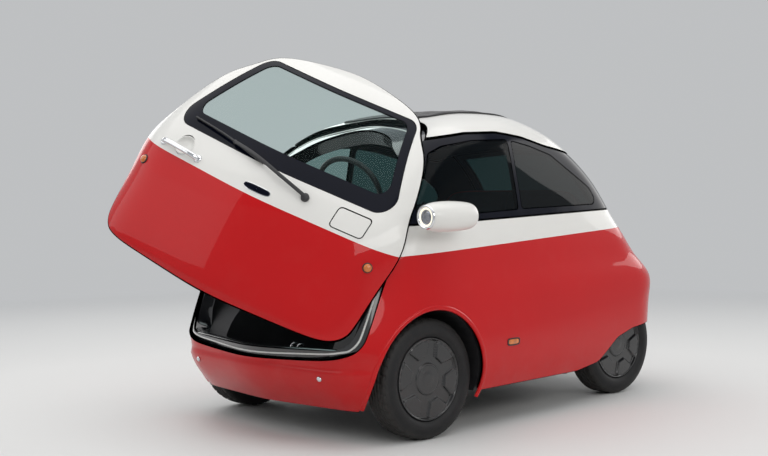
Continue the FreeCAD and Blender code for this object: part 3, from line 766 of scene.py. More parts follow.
def inside_distance(outline: Array, a: Array, b: Array) -> Array:
    """Distance of many points to a closed outline, above nought inside it.

    Args:
        outline: The outline's points.
        a: First coordinate of the points.
        b: Second coordinate.

    Returns:
        Signed distances of a's shape.
    """
    q = np.stack([a.ravel(), b.ravel()], 1)
    best = np.full(len(q), 1e9)
    within = np.zeros(len(q), bool)
    for p, r in zip(outline, np.roll(outline, -1, 0)):
        d = r - p
        length = float(d @ d)
        if length < 1e-14:
            continue
        t = np.clip(((q - p) @ d) / length, 0.0, 1.0)
        gap = q - p - t[:, None] * d
        best = np.minimum(best, gap[:, 0] ** 2 + gap[:, 1] ** 2)
        within ^= crossed(p, r, q[:, 0], q[:, 1])
    return (np.where(within, 1.0, -1.0) * np.sqrt(best)).reshape(a.shape)


def smooth_ring(values: Array, spread: float) -> Array:
    """Closed ring of values softened by a bell curve spread over so many samples."""
    n = len(values)
    wave = np.fft.fftfreq(n)
    keep = np.exp(-2.0 * (math.pi * wave * spread) ** 2)
    return np.real(np.fft.ifft(np.fft.fft(values, axis=0) * keep[:, None], axis=0))


def natural_spline(places: Array, values: Array, wanted: Array) -> Array:
    """Natural cubic spline through rows of values.

    Args:
        places: Places of the rows, rising.
        values: Rows by whatever else.
        wanted: Places to find values at.

    Returns:
        Values at the wanted places.
    """
    n = len(places)
    h = np.diff(places)
    a = np.zeros((n, n))
    a[0, 0] = a[-1, -1] = 1.0
    for i in range(1, n - 1):
        a[i, i - 1:i + 2] = h[i - 1], 2 * (h[i - 1] + h[i]), h[i]
    flat = values.reshape(n, -1)
    slope = np.diff(flat, axis=0) / h[:, None]
    right = np.zeros_like(flat)
    right[1:-1] = 6 * np.diff(slope, axis=0)
    bend = np.linalg.solve(a, right)
    i = np.clip(np.searchsorted(places, wanted) - 1, 0, n - 2)
    left, after = (places[i + 1] - wanted)[:, None], (wanted - places[i])[:, None]
    hi = h[i][:, None]
    out = ((bend[i] * left ** 3 + bend[i + 1] * after ** 3) / (6 * hi)
           + (flat[i] / hi - bend[i] * hi / 6) * left + (flat[i + 1] / hi - bend[i + 1] * hi / 6) * after)
    return out.reshape((len(wanted),) + values.shape[1:])


@dataclass
class BodyForm:
    """The car's outer skin: one smooth surface through its slices from the sill to the roof."""

    # z, front x, corner x and y, widest x and y, rear corner x and y, rear x, front and rear radius
    slices: tuple[tuple[float, ...], ...] = (
        (142, 1150, 1075, 630, 780, 700, -960, 560, -1060, 200, 200),
        (260, 1245, 1160, 700, 790, 745, -1000, 580, -1110, 300, 220),
        (360, 1275, 1180, 710, 790, 755, -1020, 590, -1140, 300, 240),
        (500, 1265, 1160, 702, 780, 747, -1035, 596, -1165, 300, 260),
        (620, 1240, 1125, 700, 760, 731, -1040, 594, -1170, 300, 260),
        (720, 1215, 1095, 699, 740, 718, -940, 580, -1065, 280, 250),
        (820, 1180, 1060, 695, 700, 708, -850, 572, -970, 260, 240),
        (940, 1110, 985, 670, 620, 688, -745, 560, -850, 250, 220),
        (1080, 990, 870, 630, 500, 655, -640, 540, -735, 240, 200),
        (1220, 845, 730, 580, 350, 615, -500, 510, -590, 220, 200),
        (1320, 710, 600, 530, 200, 570, -352, 482, -445, 200, 200),
        (1390, 570, 470, 470, 100, 502, -212, 425, -295, 180, 180),
        (1435, 400, 320, 370, 90, 394, -95, 348, -155, 150, 110),
        (1457, 240, 200, 220, 80, 230, -20, 200, -35, 90, 60),
    )
    across: int = 620
    up: int = 400
    soft: float = 0.045
    ledge: float = 0.012
    ledge_band: tuple[float, float, float] = (0.304, 0.41, 1.06)
    points: Array = field(init=False)
    normals: Array = field(init=False)
    height: float = field(init=False)
    girth: float = field(init=False)

    def __post_init__(self) -> None:
        """Works out the surface's grid, for the left half."""
        rings = np.array([self._half_ring(row) for row in self.slices])
        steps = np.linalg.norm(np.diff(rings, axis=0), axis=2).mean(axis=1)
        places = np.concatenate([[0.0], np.cumsum(steps)])
        self.height = float(places[-1])
        grid = natural_spline(places, rings, np.linspace(0.0, self.height, self.up + 1))
        self.points = np.swapaxes(grid, 0, 1).copy()
        self.points[0, :, 1] = self.points[-1, :, 1] = 0.0
        self.normals = self._outward()
        x, z = self.points[:, :, 0], self.points[:, :, 2]
        low, high, ahead = self.ledge_band
        ledge = (self._soft((z - low) / 0.026) * self._soft((high - z) / 0.045)
                 * self._soft((x - ahead) / 0.09))
        self.points = self.points - self.normals * (self.ledge * ledge)[:, :, None]
        self.normals = self._outward()
        ring = self.points[:, self.up // 3]
        self.girth = 2.0 * float(np.linalg.norm(np.diff(ring, axis=0), axis=1).sum())

    @staticmethod
    def _soft(t: Array) -> Array:
        """Soft step from nought to one."""
        t = np.clip(t, 0.0, 1.0)
        return t * t * (3.0 - 2.0 * t)

    def _outward(self) -> Array:
        """Outward normals of the grid, even across the car's middle."""
        flip = np.array([1.0, -1.0, 1.0])
        wide = np.concatenate([self.points[1:2] * flip, self.points, self.points[-2:-1] * flip])
        return unit(np.cross(wide[2:] - wide[:-2], np.gradient(self.points, axis=1)))

    def _half_ring(self, row: Sequence[float]) -> Array:
        """Left half of one slice, evenly spaced from nose to tail."""
        z, xf, xc, yc, xb, yb, xd, yd, xr, rc, rd = (v / 1000.0 for v in row)
        s = min(1.0, yc / 0.65) ** 2
        corners = [(xf, 0), (xc, yc), (xb, yb), (xd, yd), (xr, 0), (xd, -yd), (xb, -yb), (xc, -yc)]
        radii = [0.8 * s, rc, 1.08 * s, rd, 0.6 * s, rd, 1.08 * s, rc]
        outline = self._even(rounded(corners, radii, 0.006), 2048)
        length = float(np.linalg.norm(outline - np.roll(outline, 1, 0), axis=1).sum())
        outline = smooth_ring(outline, min(self.soft, 0.012 * length) / length * 2048)
        start = int(np.argmax(outline[:, 0] - 10.0 * np.abs(outline[:, 1])))
        outline = np.roll(outline, -start, 0)
        outline = (outline + np.roll(outline[::-1], 1, 0) * [1, -1]) / 2
        half = outline[:1025]
        run = run_along(half)
        x, y = sampled(half, run, np.linspace(0.0, run[-1], self.across + 1)).T
        return np.stack([x, y, np.full_like(x, z)], 1)

    @staticmethod
    def _even(outline: Array, count: int) -> Array:
        """The closed outline at evenly spaced points, from its foremost."""
        outline = np.roll(outline, -int(np.argmax(outline[:, 0] - 10.0 * np.abs(outline[:, 1]))), 0)
        outline[0] = (outline[0][0], 0.0)
        closed = np.concatenate([outline, outline[:1]])
        run = run_along(closed)
        return sampled(closed, run, np.linspace(0.0, run[-1], count, endpoint=False))

    def at(self, place: Array) -> tuple[Array, Array]:
        """Points and normals of the skin.

        Args:
            place: Rows of grid places: across from the nose, where the right side is negative or
                past the tail, and up from the sill.

        Returns:
            Points and normals.
        """
        u = np.mod(place[:, 0], 2 * self.across)
        right = u > self.across
        u = np.where(right, 2 * self.across - u, u)
        w = np.clip(place[:, 1], 0.0, self.up - 1e-6)
        i, j = np.minimum(u.astype(int), self.across - 1), w.astype(int)
        a, b = (u - i)[:, None], (w - j)[:, None]
        out = []
        for grid in (self.points, self.normals):
            v = ((grid[i, j] * (1 - a) + grid[i + 1, j] * a) * (1 - b)
                 + (grid[i, j + 1] * (1 - a) + grid[i + 1, j + 1] * a) * b)
            v[right, 1] *= -1.0
            out.append(v)
        return out[0], unit(out[1])

    def tree(self) -> BVHTree:
        """The whole skin, closed at the roof, for finding places on it."""
        left = self.points[::4, ::4]
        ring = np.concatenate([left, left[-2:0:-1] * [1.0, -1.0, 1.0]])
        n, m = ring.shape[:2]
        points = ring.reshape(-1, 3)
        faces = []
        for i in range(n):
            k = (i + 1) % n
            for j in range(m - 1):
                faces.append((i * m + j, k * m + j, k * m + j + 1, i * m + j + 1))
        faces.append(tuple(i * m + m - 1 for i in range(n)))
        return BVHTree.FromPolygons(points.tolist(), faces)


@dataclass
class Spots:
    """Finds places on the skin by looking at it from ahead, from behind or from the side."""

    form: BodyForm
    skin: BVHTree = field(init=False)

    def __post_init__(self) -> None:
        """Makes the search tree."""
        self.skin = self.form.tree()

    def _hit(self, start: Vector, way: Vector) -> Array:
        """Where a line first meets the skin."""
        return np.array(self.skin.ray_cast(start, way)[0])

    def _frame(self, start: Callable[[float, float], Sequence[float]], out: Sequence[float], a: float,
               b: float) -> tuple[Array, Array]:
        """Point and outward normal from looks at the skin.

        Args:
            start: Where a look at two coordinates starts.
            out: The way from the skin to the eye.
            a: First coordinate.
            b: Second coordinate.

        Returns:
            The point and its normal.
        """
        p, right, left, above, below = (
            self._hit(Vector(start(a + i, b + j)), -Vector(out))
            for i, j in ((0, 0), (0.01, 0), (-0.01, 0), (0, 0.01), (0, -0.01)))
        n = unit(np.cross(right - left, above - below))
        return p, n if float(n @ np.array(out)) > 0 else -n

    def nose(self, y: float, z: float) -> tuple[Array, Array]:
        """Place seen from ahead."""
        return self._frame(lambda a, b: (3, a, b), (1, 0, 0), y, z)

    def tail(self, y: float, z: float) -> tuple[Array, Array]:
        """Place seen from behind."""
        return self._frame(lambda a, b: (-3, a, b), (-1, 0, 0), y, z)

    def side(self, x: float, z: float, side: float = 1.0) -> tuple[Array, Array]:
        """Place seen from the left (1) or right (-1)."""
        return self._frame(lambda a, b: (a, 3 * side, b), (0, side, 0), x, z)

    def top(self, x: float, y: float) -> float:
        """Height of the roof seen from above."""
        return float(self._hit(Vector((x, y, 3)), Vector((0, 0, -1)))[2])


class Regions:
    """Signed distances over the skin's grid, above nought inside a region; cut and joined by the lesser."""

    def __init__(self, form: BodyForm) -> None:
        """Keeps the grid's coordinates."""
        self.form = form
        self.x, self.y, self.z = (form.points[:, :, k] for k in range(3))

    @staticmethod
    def _outline(points: Sequence[Point2], radii: Sequence[float]) -> Array:
        """Rounded outline in metres, from millimetres."""
        return rounded([(a / 1000, b / 1000) for a, b in points], [r / 1000 for r in radii])

    def side(self, points: Sequence[Point2], radii: Sequence[float]) -> Array:
        """Region of an outline in the side view, in millimetres."""
        return inside_distance(self._outline(points, radii), self.x, self.z)

    def cross(self, points: Sequence[Point2], radii: Sequence[float], behind: float | None = None) -> Array:
        """Region of an outline in the front view, or in the rear view where behind is given."""
        d = inside_distance(self._outline(points, radii), self.y, self.z)
        return np.minimum(d, self.x - NOSE_FROM if behind is None else behind - self.x)

    def plan(self, points: Sequence[Point2], radii: Sequence[float]) -> Array:
        """Region of an outline in the view from above, in millimetres."""
        return inside_distance(self._outline(points, radii), self.x, self.y)

    def disc(self, x: float, z: float, r: float) -> Array:
        """Region of a circle in the side view, in metres."""
        return r - np.hypot(self.x - x, self.z - z)


class Window(Enum):
    """Which part of the skin a region is looked for in."""

    NOSE = "across the nose"
    TAIL = "across the tail"
    LEFT = "left side only"


def loops_of(value: Array) -> list[Array]:
    """Closed lines where a grid of numbers passes nought, the higher side on their left.

    Args:
        value: The grid, below nought at its rim.

    Returns:
        One array of grid places a line.
    """
    sign = value > 0
    mixed = sign[:-1, :-1].astype(int) + sign[1:, :-1] + sign[:-1, 1:] + sign[1:, 1:]
    links: dict[tuple, list[tuple]] = {}
    place: dict[tuple, tuple[float, float]] = {}

    def crossing(i: int, j: int, flat: bool) -> tuple:
        """Notes where the line crosses a cell's side, and returns the side's key."""
        key = (i, j, flat)
        a, b = value[i, j], value[i + 1, j] if flat else value[i, j + 1]
        t = min(0.999, max(0.001, a / (a - b)))
        place[key] = (i + t, j) if flat else (i, j + t)
        return key

    for i, j in zip(*np.nonzero((mixed > 0) & (mixed < 4))):
        i, j = int(i), int(j)
        c = (sign[i, j], sign[i + 1, j], sign[i + 1, j + 1], sign[i, j + 1])
        edges = []
        if c[0] != c[1]:
            edges.append(crossing(i, j, True))
        if c[1] != c[2]:
            edges.append(crossing(i + 1, j, False))
        if c[2] != c[3]:
            edges.append(crossing(i, j + 1, True))
        if c[3] != c[0]:
            edges.append(crossing(i, j, False))
        pairs = [(edges[0], edges[1])]
        if len(edges) == 4:
            middle = value[i:i + 2, j:j + 2].mean() > 0
            pairs = ([(edges[0], edges[1]), (edges[2], edges[3])] if middle != c[0] and c[0]
                     or middle == c[0] and not c[0] else [(edges[3], edges[0]), (edges[1], edges[2])])
        for a, b in pairs:
            links.setdefault(a, []).append(b)
            links.setdefault(b, []).append(a)
    loops = []
    left = set(links)
    while left:
        start = min(left)
        chain = [start]
        left.discard(start)
        while True:
            onward = [k for k in links[chain[-1]] if k in left]
            if not onward:
                break
            chain.append(onward[0])
            left.discard(onward[0])
        if len(chain) > 12:
            loop = np.array([place[k] for k in chain])
            mid, step = (loop[0] + loop[1]) / 2, loop[1] - loop[0]
            probe = mid + np.array([-step[1], step[0]]) / max(1e-9, np.hypot(*step)) * 0.3
            i, j = int(probe[0]), int(probe[1])
            a, b = probe[0] - i, probe[1] - j
            got = ((value[i, j] * (1 - a) + value[i + 1, j] * a) * (1 - b)
                   + (value[i, j + 1] * (1 - a) + value[i + 1, j + 1] * a) * b)
            loops.append(loop if got > 0 else loop[::-1])
    return loops


@dataclass
class SkinPanel:
    """One panel of the skin: its region, how deep its wall is and how its edge rolls over."""

    form: BodyForm
    region: Array
    window: Window = Window.NOSE
    inset: float = 0.0
    roll: float = 0.004
    depth: float = 0.026
    lift: float = 0.0
    spacing: float = 0.008
    lattice: int = 4
    ring: bool = False
    back: bool = True
    right: Array | None = None
    crisp: float = 0.0015
    outer_only: bool = False
    # Fall of the region beyond the window's rim, metres a grid step, and how long an edge is rolled in full.
    rim_fall: float = 0.004
    long_edge: float = 0.9
    # How far from an edge the inner points keep, metres a step of the lattice.
    clear_of_edge: float = 0.00275

    def _full(self) -> tuple[Array, int]:
        """The region over the window, closed at its rim, and the window's first place across."""
        f = self.region - self.inset - self.roll
        n = self.form.across
        if self.window is Window.NOSE:
            other = f if self.right is None else self.right - self.inset - self.roll
            f, first = np.concatenate([other[:0:-1], f]), -n
        elif self.window is Window.TAIL:
            f, first = np.concatenate([f, f[-2::-1]]), 0
        else:
            first = 0
        i, j = np.arange(f.shape[0])[:, None], np.arange(f.shape[1])[None, :]
        rims = [(j - 0.5) * self.rim_fall, (f.shape[1] - 1.5 - j) * self.rim_fall]
        if not self.ring:
            rims += [(i - 0.5) * self.rim_fall, (f.shape[0] - 1.5 - i) * self.rim_fall]
        for rim in rims:
            f = np.minimum(f, rim)
        return f, first

    def _spread(self, place: Array) -> Array:
        """Flat place of a grid place, for filling with triangles."""
        form = self.form
        if not self.ring:
            return place * [form.girth / (2 * form.across), form.height / form.up]
        reach = (form.up + 40 - place[:, 1]) / form.up
        turn = place[:, 0] * math.pi / form.across
        return np.stack([reach * np.cos(turn), reach * np.sin(turn)], 1)

    def _even(self, loop: Array) -> Array:
        """The loop at even spacing along the skin."""
        closed = np.concatenate([loop, loop[:1]])
        whole = 2 * self.form.across
        if self.ring:
            closed[-1, 0] = loop[0, 0] + round((loop[-1, 0] - loop[0, 0]) / whole) * whole
        run = run_along(self.form.at(closed)[0])
        count = max(8, int(run[-1] / self.spacing))
        return sampled(closed, run, np.linspace(0.0, run[-1], count, endpoint=False))

    def _loops(self, f: Array, first: int) -> list[Array]:
        """Edge loops of the region as grid places."""
        return [self._even((loop[:-1] if self.ring else loop) + [first, 0]) for loop in loops_of(f)]

    def longest_edge(self) -> Array:
        """Grid places of the panel's longest edge."""
        return max(self._loops(*self._full()), key=len)

    def pattern(self) -> Pattern:
        """Builds the panel: face, rolled edge, wall and back."""
        f, first = self._full()
        loops = self._loops(f, first)
        made = Pattern()
        ii, jj = np.meshgrid(np.arange(0, f.shape[0] - self.ring, self.lattice),
                             np.arange(0, f.shape[1], self.lattice), indexing="ij")
        keep = f[ii, jj] > self.clear_of_edge * self.lattice
        inner = np.stack([ii[keep] + first, jj[keep]], 1).astype(float)
        places = np.concatenate(loops + [inner])
        edges, start = [], 0
        for loop in loops:
            n = len(loop)
            edges += [(start + k, start + (k + 1) % n) for k in range(n)]
            start += n
        flat = self._spread(places)
        verts, _, faces, origin, _, _ = delaunay_2d_cdt([Vector(p) for p in flat], edges, [], 0, 1e-9)
        number = np.full(len(verts), -1)
        for k, sources in enumerate(origin):
            if sources:
                number[k] = sources[0]
        points, normals = self.form.at(places)
        points = points + normals * self.lift
        base = made.add(points, normals)
        back = made.add(points - normals * self.depth, -normals) if self.back else base
        corners = [tuple(int(number[v]) for v in face) for face in faces]
        corners = [c for c in corners if min(c) >= 0 and len(set(c)) == 3]
        centres = flat[np.array(corners)].mean(axis=1)
        inside = self._within(centres, loops)
        for c, good in zip(corners, inside):
            if good:
                a, b, d = (flat[k] for k in c)
                if (b[0] - a[0]) * (d[1] - a[1]) - (b[1] - a[1]) * (d[0] - a[0]) < 0:
                    c = c[::-1]
                made.face((base + k for k in c), 0)
                if self.back:
                    made.face((back + k for k in reversed(c)), 1)
        start, longest = 0, max(len(loop) for loop in loops)
        for loop in loops:
            full = len(loop) == longest if self.outer_only else len(loop) * self.spacing > self.long_edge
            self._edge(made, points[start:start + len(loop)], normals[start:start + len(loop)], base + start,
                       back + start, self.roll if full else min(self.roll, self.crisp))
            start += len(loop)
        return made

    def _within(self, centres: Array, loops: list[Array]) -> Array:
        """Which flat places lie inside the loops."""
        within = np.zeros(len(centres), bool)
        for loop in loops:
            outline = self._spread(loop)
            for p, r in zip(outline, np.roll(outline, -1, 0)):
                within ^= crossed(p, r, centres[:, 0], centres[:, 1])
        return within

    def _edge(self, made: Pattern, p: Array, n: Array, base: int, back: int, roll: float) -> None:
        """Adds a loop's rolled edge, wall and return.

        Args:
            made: Mesh that gets them.
            p: The loop's points.
            n: Their normals.
            base: Number of the loop's first point on the face.
            back: The same on the back.
            roll: The edge's radius.
        """
        count = len(p)
        inward = unit(np.cross(n, unit(np.roll(p, -2, 0) - np.roll(p, 2, 0))))
        last = base
        turns = (90.0,) if roll < 0.001 else (30.0, 60.0, 90.0)
        if roll > 0.006:
            turns = (18.0, 36.0, 54.0, 72.0, 90.0)
        for turn in turns:
            s, c = math.sin(math.radians(turn)), math.cos(math.radians(turn))
            row = made.add(p - inward * roll * s - n * roll * (1 - c), n * c - inward * s)
            made.strip(last, row, count)
            last = row
        foot = made.add(p - inward * roll - n * self.depth, -inward)
        made.strip(last, foot, count)
        if self.back:
            low = made.add(p - inward * roll - n * self.depth, -n)
            made.strip(low, back, count, 1)


# ---------------------------------------------------------------- swept and turned shapes


def smooth_path(points: Sequence[Sequence[float]], step: float = 0.012) -> Array:
    """Even points on a soft curve through the given ones.

    Args:
        points: Places that the curve passes.
        step: Spacing of the result.

    Returns:
        The curve's points.
    """
    p = np.array(points, float)
    run = run_along(p)
    wanted = np.linspace(0.0, run[-1], max(3, int(run[-1] / step) + 1))
    return natural_spline(run, p, wanted) if len(p) > 2 else sampled(p, run, wanted)


def swept(made: Pattern, path: Array, outward: Array, profile: Sequence[Point2], closed: bool = False,
          finish: int = 0) -> None:
    """Carries a closed profile along a path.

    Args:
        made: Mesh that gets it.
        path: Points of the path.
        outward: One direction a point, which the profile's second number follows.
        profile: Closed section: across and outward, in metres.
        closed: Whether the path joins up; if not, its ends are capped.
        finish: The faces' finish.
    """
    along = unit((np.roll(path, -1, 0) - np.roll(path, 1, 0)) if closed else np.gradient(path, axis=0))
    outward = unit(outward - along * np.sum(outward * along, axis=1, keepdims=True))
    across = np.cross(along, outward)
    section = np.array(profile, float)
    grid = path[:, None] + across[:, None] * section[None, :, :1] + outward[:, None] * section[None, :, 1:2]
    first = made.count
    made.rows(grid, around=True, along=closed, finish=finish)
    points, normals = made.points[-1].reshape(grid.shape), made.normals[-1].reshape(grid.shape)
    middle = points.mean(axis=1, keepdims=True)
    if np.sum((points - middle) * normals) < 0:
        made.normals[-1] = -made.normals[-1]
        total = len(path) * len(section)
        made.faces = [tuple(reversed(f)) if min(f) >= first and max(f) < first + total else f
                      for f in made.faces]
    if not closed:
        for row, flip in ((0, -1.0), (len(path) - 1, 1.0)):
            cap = made.add(grid[row], np.tile(along[row] * flip, (len(section), 1)))
            made.face(range(cap, cap + len(section)), finish)


def circle(r: float, sides: int = 12) -> list[Point2]:
    """Round section."""
    return [(r * math.cos(2 * math.pi * k / sides), r * math.sin(2 * math.pi * k / sides))
            for k in range(sides)]


def oval(w: float, h: float, power: float = 2.6, sides: int = 28) -> list[Point2]:
    """Soft-cornered oval of half sizes w and h."""
    out = []
    for k in range(sides):
        a = 2 * math.pi * k / sides
        c, s = math.cos(a), math.sin(a)
        out.append((w * math.copysign(abs(c) ** (2 / power), c), h * math.copysign(abs(s) ** (2 / power), s)))
    return out


def steady(path: Array, first: Sequence[float]) -> Array:
    """Directions square to a path that don't twist, from a first one."""
    out = [np.array(first, float)]
    for t in unit(np.gradient(path, axis=0)):
        out.append(unit(out[-1] - t * (out[-1] @ t)))
    return np.array(out[1:])


def turned(made: Pattern, centre: Array, axis: Array, profile: Sequence[Point2], sides: int = 48,
           finish: int = 0) -> None:
    """Turns a profile about an axis.

    Args:
        made: Mesh that gets it.
        centre: Point on the axis.
        axis: Direction of the axis.
        profile: Places along the axis and radii, so that the outside is on the left of its run.
        sides: Points round.
        finish: The faces' finish.
    """
    axis = unit(np.array(axis, float))
    side = unit(np.cross(axis, ALONG_Z if abs(axis[2]) < 0.9 else ALONG_X))
    angles = 2 * np.pi * np.arange(sides) / sides
    spoke = np.cos(angles)[:, None] * side + np.sin(angles)[:, None] * np.cross(axis, side)
    section = np.array(profile, float)[::-1, None]
    grid = np.array(centre) + axis * section[..., :1] + spoke[None] * section[..., 1:2]
    made.rows(grid, around=True, finish=finish)


def rim_of(grid: Array) -> Array:
    """Closed row of a grid's outermost points."""
    return np.concatenate([grid[:-1, 0], grid[-1, :-1], grid[:0:-1, -1], grid[0, :0:-1]])


def soft_square(n: int, m: int, power: float) -> tuple[Array, Array, Array, Array]:
    """Grid over the square from -1 to 1 that is drawn in to soft corners.

    Args:
        n: Rows.
        m: Columns.
        power: How square the corners stay.

    Returns:
        The two coordinates, the greater of their sizes, and the scale that softens the corners.
    """
    u, v = np.meshgrid(np.linspace(-1, 1, n), np.linspace(-1, 1, m), indexing="ij")
    square = np.maximum(np.abs(u), np.abs(v))
    reach = (np.abs(u) ** power + np.abs(v) ** power) ** (1 / power)
    return u, v, square, square / np.maximum(reach, 1e-9)


def outline_pad(made: Pattern, centre: Array, across: Array, up: Array, normal: Array,
                outline: Sequence[Point2], levels: Sequence[Point2], finish: int = 0) -> None:
    """Pad with a shaped outline that shrinks level by level.

    Args:
        made: Mesh that gets it.
        centre: Middle of the pad.
        across: Its width's direction.
        up: Its height's direction.
        normal: Its outward direction.
        outline: Points of its outline, anticlockwise from outside.
        levels: How far the outline is scaled and lifted, level by level, ending in the face.
        finish: The faces' finish.
    """
    rim = np.array(outline, float)
    rows = []
    for scale, lift in levels:
        rows.append(centre + across * rim[:, :1] * scale + up * rim[:, 1:2] * scale + normal * lift)
    grid = np.array(rows)
    made.rows(grid, around=True, finish=finish)
    first = made.add(grid[-1], np.tile(normal, (len(rim), 1)))
    made.face(range(first, first + len(rim)), finish)


# ---------------------------------------------------------------- sub-assemblies


@dataclass
class Shell(Assembly):
    """Painted body, its windows, roof and the door's opening."""

    form: BodyForm
    regions: Regions
    spots: Spots
    belt_front: float = 0.8
    belt_slope: float = -0.045
    belt_x: float = 0.967
    foot_front: float = 0.931
    foot_slope: float = -0.027
    foot_x: float = 0.914
    bumper_x: float = 0.9
    bumper_tops: tuple[float, float] = (0.35, 0.662)
    arch_r: float = 0.312
    shut_gap: float = 0.006
    door: Array = field(init=False)
    hatch: Array = field(init=False)
    roof: Array = field(init=False)
    arch: Array = field(init=False)
    skirt: Array = field(init=False)

    def __post_init__(self) -> None:
        """Works out the regions that the panels are cut from."""
        r = self.regions
        self.door = r.side([(1700, 350), (1700, 1480), (385, 1480), (671, 1258), (911, 940), (1158, 350)],
                           [0, 0, 0, 320, 420, 190])
        self.hatch = np.minimum(
            r.cross([(-470, 662), (470, 662), (425, 960), (345, 1400), (-345, 1400), (-425, 960)],
                    [90, 90, 300, 0, 0, 300], behind=-0.26),
            r.side([(-1400, 20), (-100, 20), (-100, 996), (-1000, 1744), (-1400, 1744)], [0] * 5))
        self.roof = r.side([(-660, 1447.5), (-420, 1248), (-164, 1286), (10, 1324), (200, 1344), (398, 1336),
                            (650, 1300), (900, 1300), (900, 1600), (-660, 1600)],
                           [0, 0, 300, 300, 300, 300, 20, 0, 0, 0])
        self.arch = r.disc(AXLE_X, WHEEL_R, self.arch_r)
        self.skirt = r.side([(-1400, 20), (1060, 20), (1060, 180), (-290, 178), (-470, 205), (-620, 315),
                             (-760, 352), (-1400, 405)], [0, 0, 0, 120, 120, 120, 120, 0])

    def belt(self, x: Array) -> Array:
        """Height of the belt line."""
        return self.belt_front + self.belt_slope * (x - self.belt_x)

    def foot(self, x: Array) -> Array:
        """Height of the windows' lower edge."""
        return self.foot_front + self.foot_slope * (x - self.foot_x)

    def painted_body(self) -> None:
        """Lower body in red with the white band above it, as the bumpers, sides and bands."""
        r = self.regions
        region = np.minimum.reduce([self.foot(r.x) - r.z, -self.door, -self.arch, -self.skirt, -self.hatch])
        skin = SkinPanel(self.form, region, ring=True, roll=0.005, depth=0.022).pattern()
        red, white = skin.split(lambda p: self.belt(p[:, 0]) - p[:, 2])
        front, red = red.split(lambda p: np.minimum(p[:, 0] - self.bumper_x, self.bumper_tops[0] - p[:, 2]))
        rear, red = red.split(lambda p: np.minimum(-self.bumper_x - p[:, 0], self.bumper_tops[1] - p[:, 2]))
        left, right = red.split(lambda p: p[:, 1])
        for part, name, node in ((front, "bumper_front", "front_bumper"),
                                 (rear, "bumper_rear", "rear_bumper"),
                                 (left, "side_left", "side_panel_left"),
                                 (right, "side_right", "side_panel_right")):
            self.lay(part, name, ("red_paint", "black_trim"), "red_paint", node)
        self.lay(white, "white_bands", ("white_paint", "black_trim"), "white_paint", "belt_bands")

    def roof_shell(self) -> None:
        """White roof round the folding top's hole."""
        hole = self.regions.plan([(-200, -290), (380, -290), (380, 290), (-200, 290)], [60] * 4)
        region = np.minimum.reduce([self.roof, -self.door, -self.hatch - 0.001, -hole])
        skin = SkinPanel(self.form, region, ring=True, roll=0.006, depth=0.022, inset=0.001, lift=0.002,
                         lattice=5)
        self.lay(skin.pattern(), "roof_shell", ("white_paint", "cabin_lining"), "white_paint", "roof_panel")

    def side_windows(self) -> None:
        """Black window surrounds and dark panes, flush with them."""
        r = self.regions
        pane = r.side([(142, 986), (842, 962), (640, 1242), (560, 1276), (380, 1304), (142, 1312)],
                      [16, 30, 60, 80, 300, 16])
        quarter = r.side([(-530, 1000), (112, 988), (112, 1308), (-20, 1288), (-200, 1244), (-480, 1080)],
                         [30, 16, 16, 300, 120, 60])
        around = np.minimum.reduce([r.z - self.foot(r.x), -self.roof, -self.door, -self.hatch])
        frame = SkinPanel(self.form, np.minimum.reduce([around - 0.001, -pane, -quarter]), Window.LEFT,
                          roll=0.003, depth=0.02, lattice=5).pattern()
        self.lay(Pattern().take(frame).take(frame, -1.0), "window_surround", ("black_gloss", "cabin_lining"),
                 "black_gloss", "window_frames")
        for name, region, finish in (("glass_front", pane, "side_glass"),
                                     ("glass_quarter", quarter, "dark_glass")):
            glass = SkinPanel(self.form, region, Window.LEFT, roll=0.001, depth=0.006, inset=0.001,
                              lift=-0.001, back=False, lattice=5).pattern()
            self.lay(Pattern().take(glass).take(glass, -1.0), name, finish, "dark_glass", "side_glass")

    def opening_edge(self, inset: float, sink: float, spacing: float = 0.012) -> tuple[Array, Array]:
        """Points and outward normals of a line round the door's opening.

        Args:
            inset: How far inside the opening's edge.
            sink: How far under the skin.
            spacing: Distance between points.

        Returns:
            Points and normals.
        """
        panel = SkinPanel(self.form, self.door, inset=inset, roll=0.0, spacing=spacing)
        points, normals = self.form.at(panel.longest_edge())
        return points - normals * sink, normals

    def opening(self) -> None:
        """Black rebate, pale rolled seal whose colour is partly painted light, and the glossy frame inside
        the door's opening.
        """
        band = np.minimum(self.door + 0.002, 0.034 - self.door)
        rebate = SkinPanel(self.form, band, roll=0.0005, depth=0.01, lift=-0.022, back=False, lattice=3)
        self.lay(rebate.pattern(), "opening_rebate", "tub_gloss", "black_gloss")
        seal = Pattern()
        points, normals = self.opening_edge(0.015, 0.0246)
        swept(seal, points, normals, circle(0.005, 12), closed=True)
        # The seal's pale colour is partly painted light, lifted against the shade under the overhang.
        self.lay(seal, "opening_seal", "seal_rubber", "pale_seal", "opening_trim")
        tub = Pattern()
        base, out = self.opening_edge(0.027, 0.024, 0.015)
        inward = np.cross(out, unit(np.roll(base, -1, 0) - np.roll(base, 1, 0)))
        inward = np.where(np.sum(inward * (base.mean(axis=0) - base), axis=1, keepdims=True) > 0, inward,
                          -inward)
        low = np.clip((0.52 - base[:, 2:3]) / 0.2, 0.0, 1.0)
        section = ((0.0, 0.0, 0.0), (0.004, 0.008, 0.0), (0.006, 0.03, 0.004), (0.01, 0.065, 0.03),
                   (0.012, 0.085, 0.09), (0.014, 0.095, 0.15))
        tub.rows(np.array([base + inward * across - out * (deep * (0.75 + 0.25 * low)) - ALONG_Z * drop * low
                           for across, deep, drop in section]), around=True)
        self.lay(tub, "opening_frame", "tub_gloss", "black_gloss")

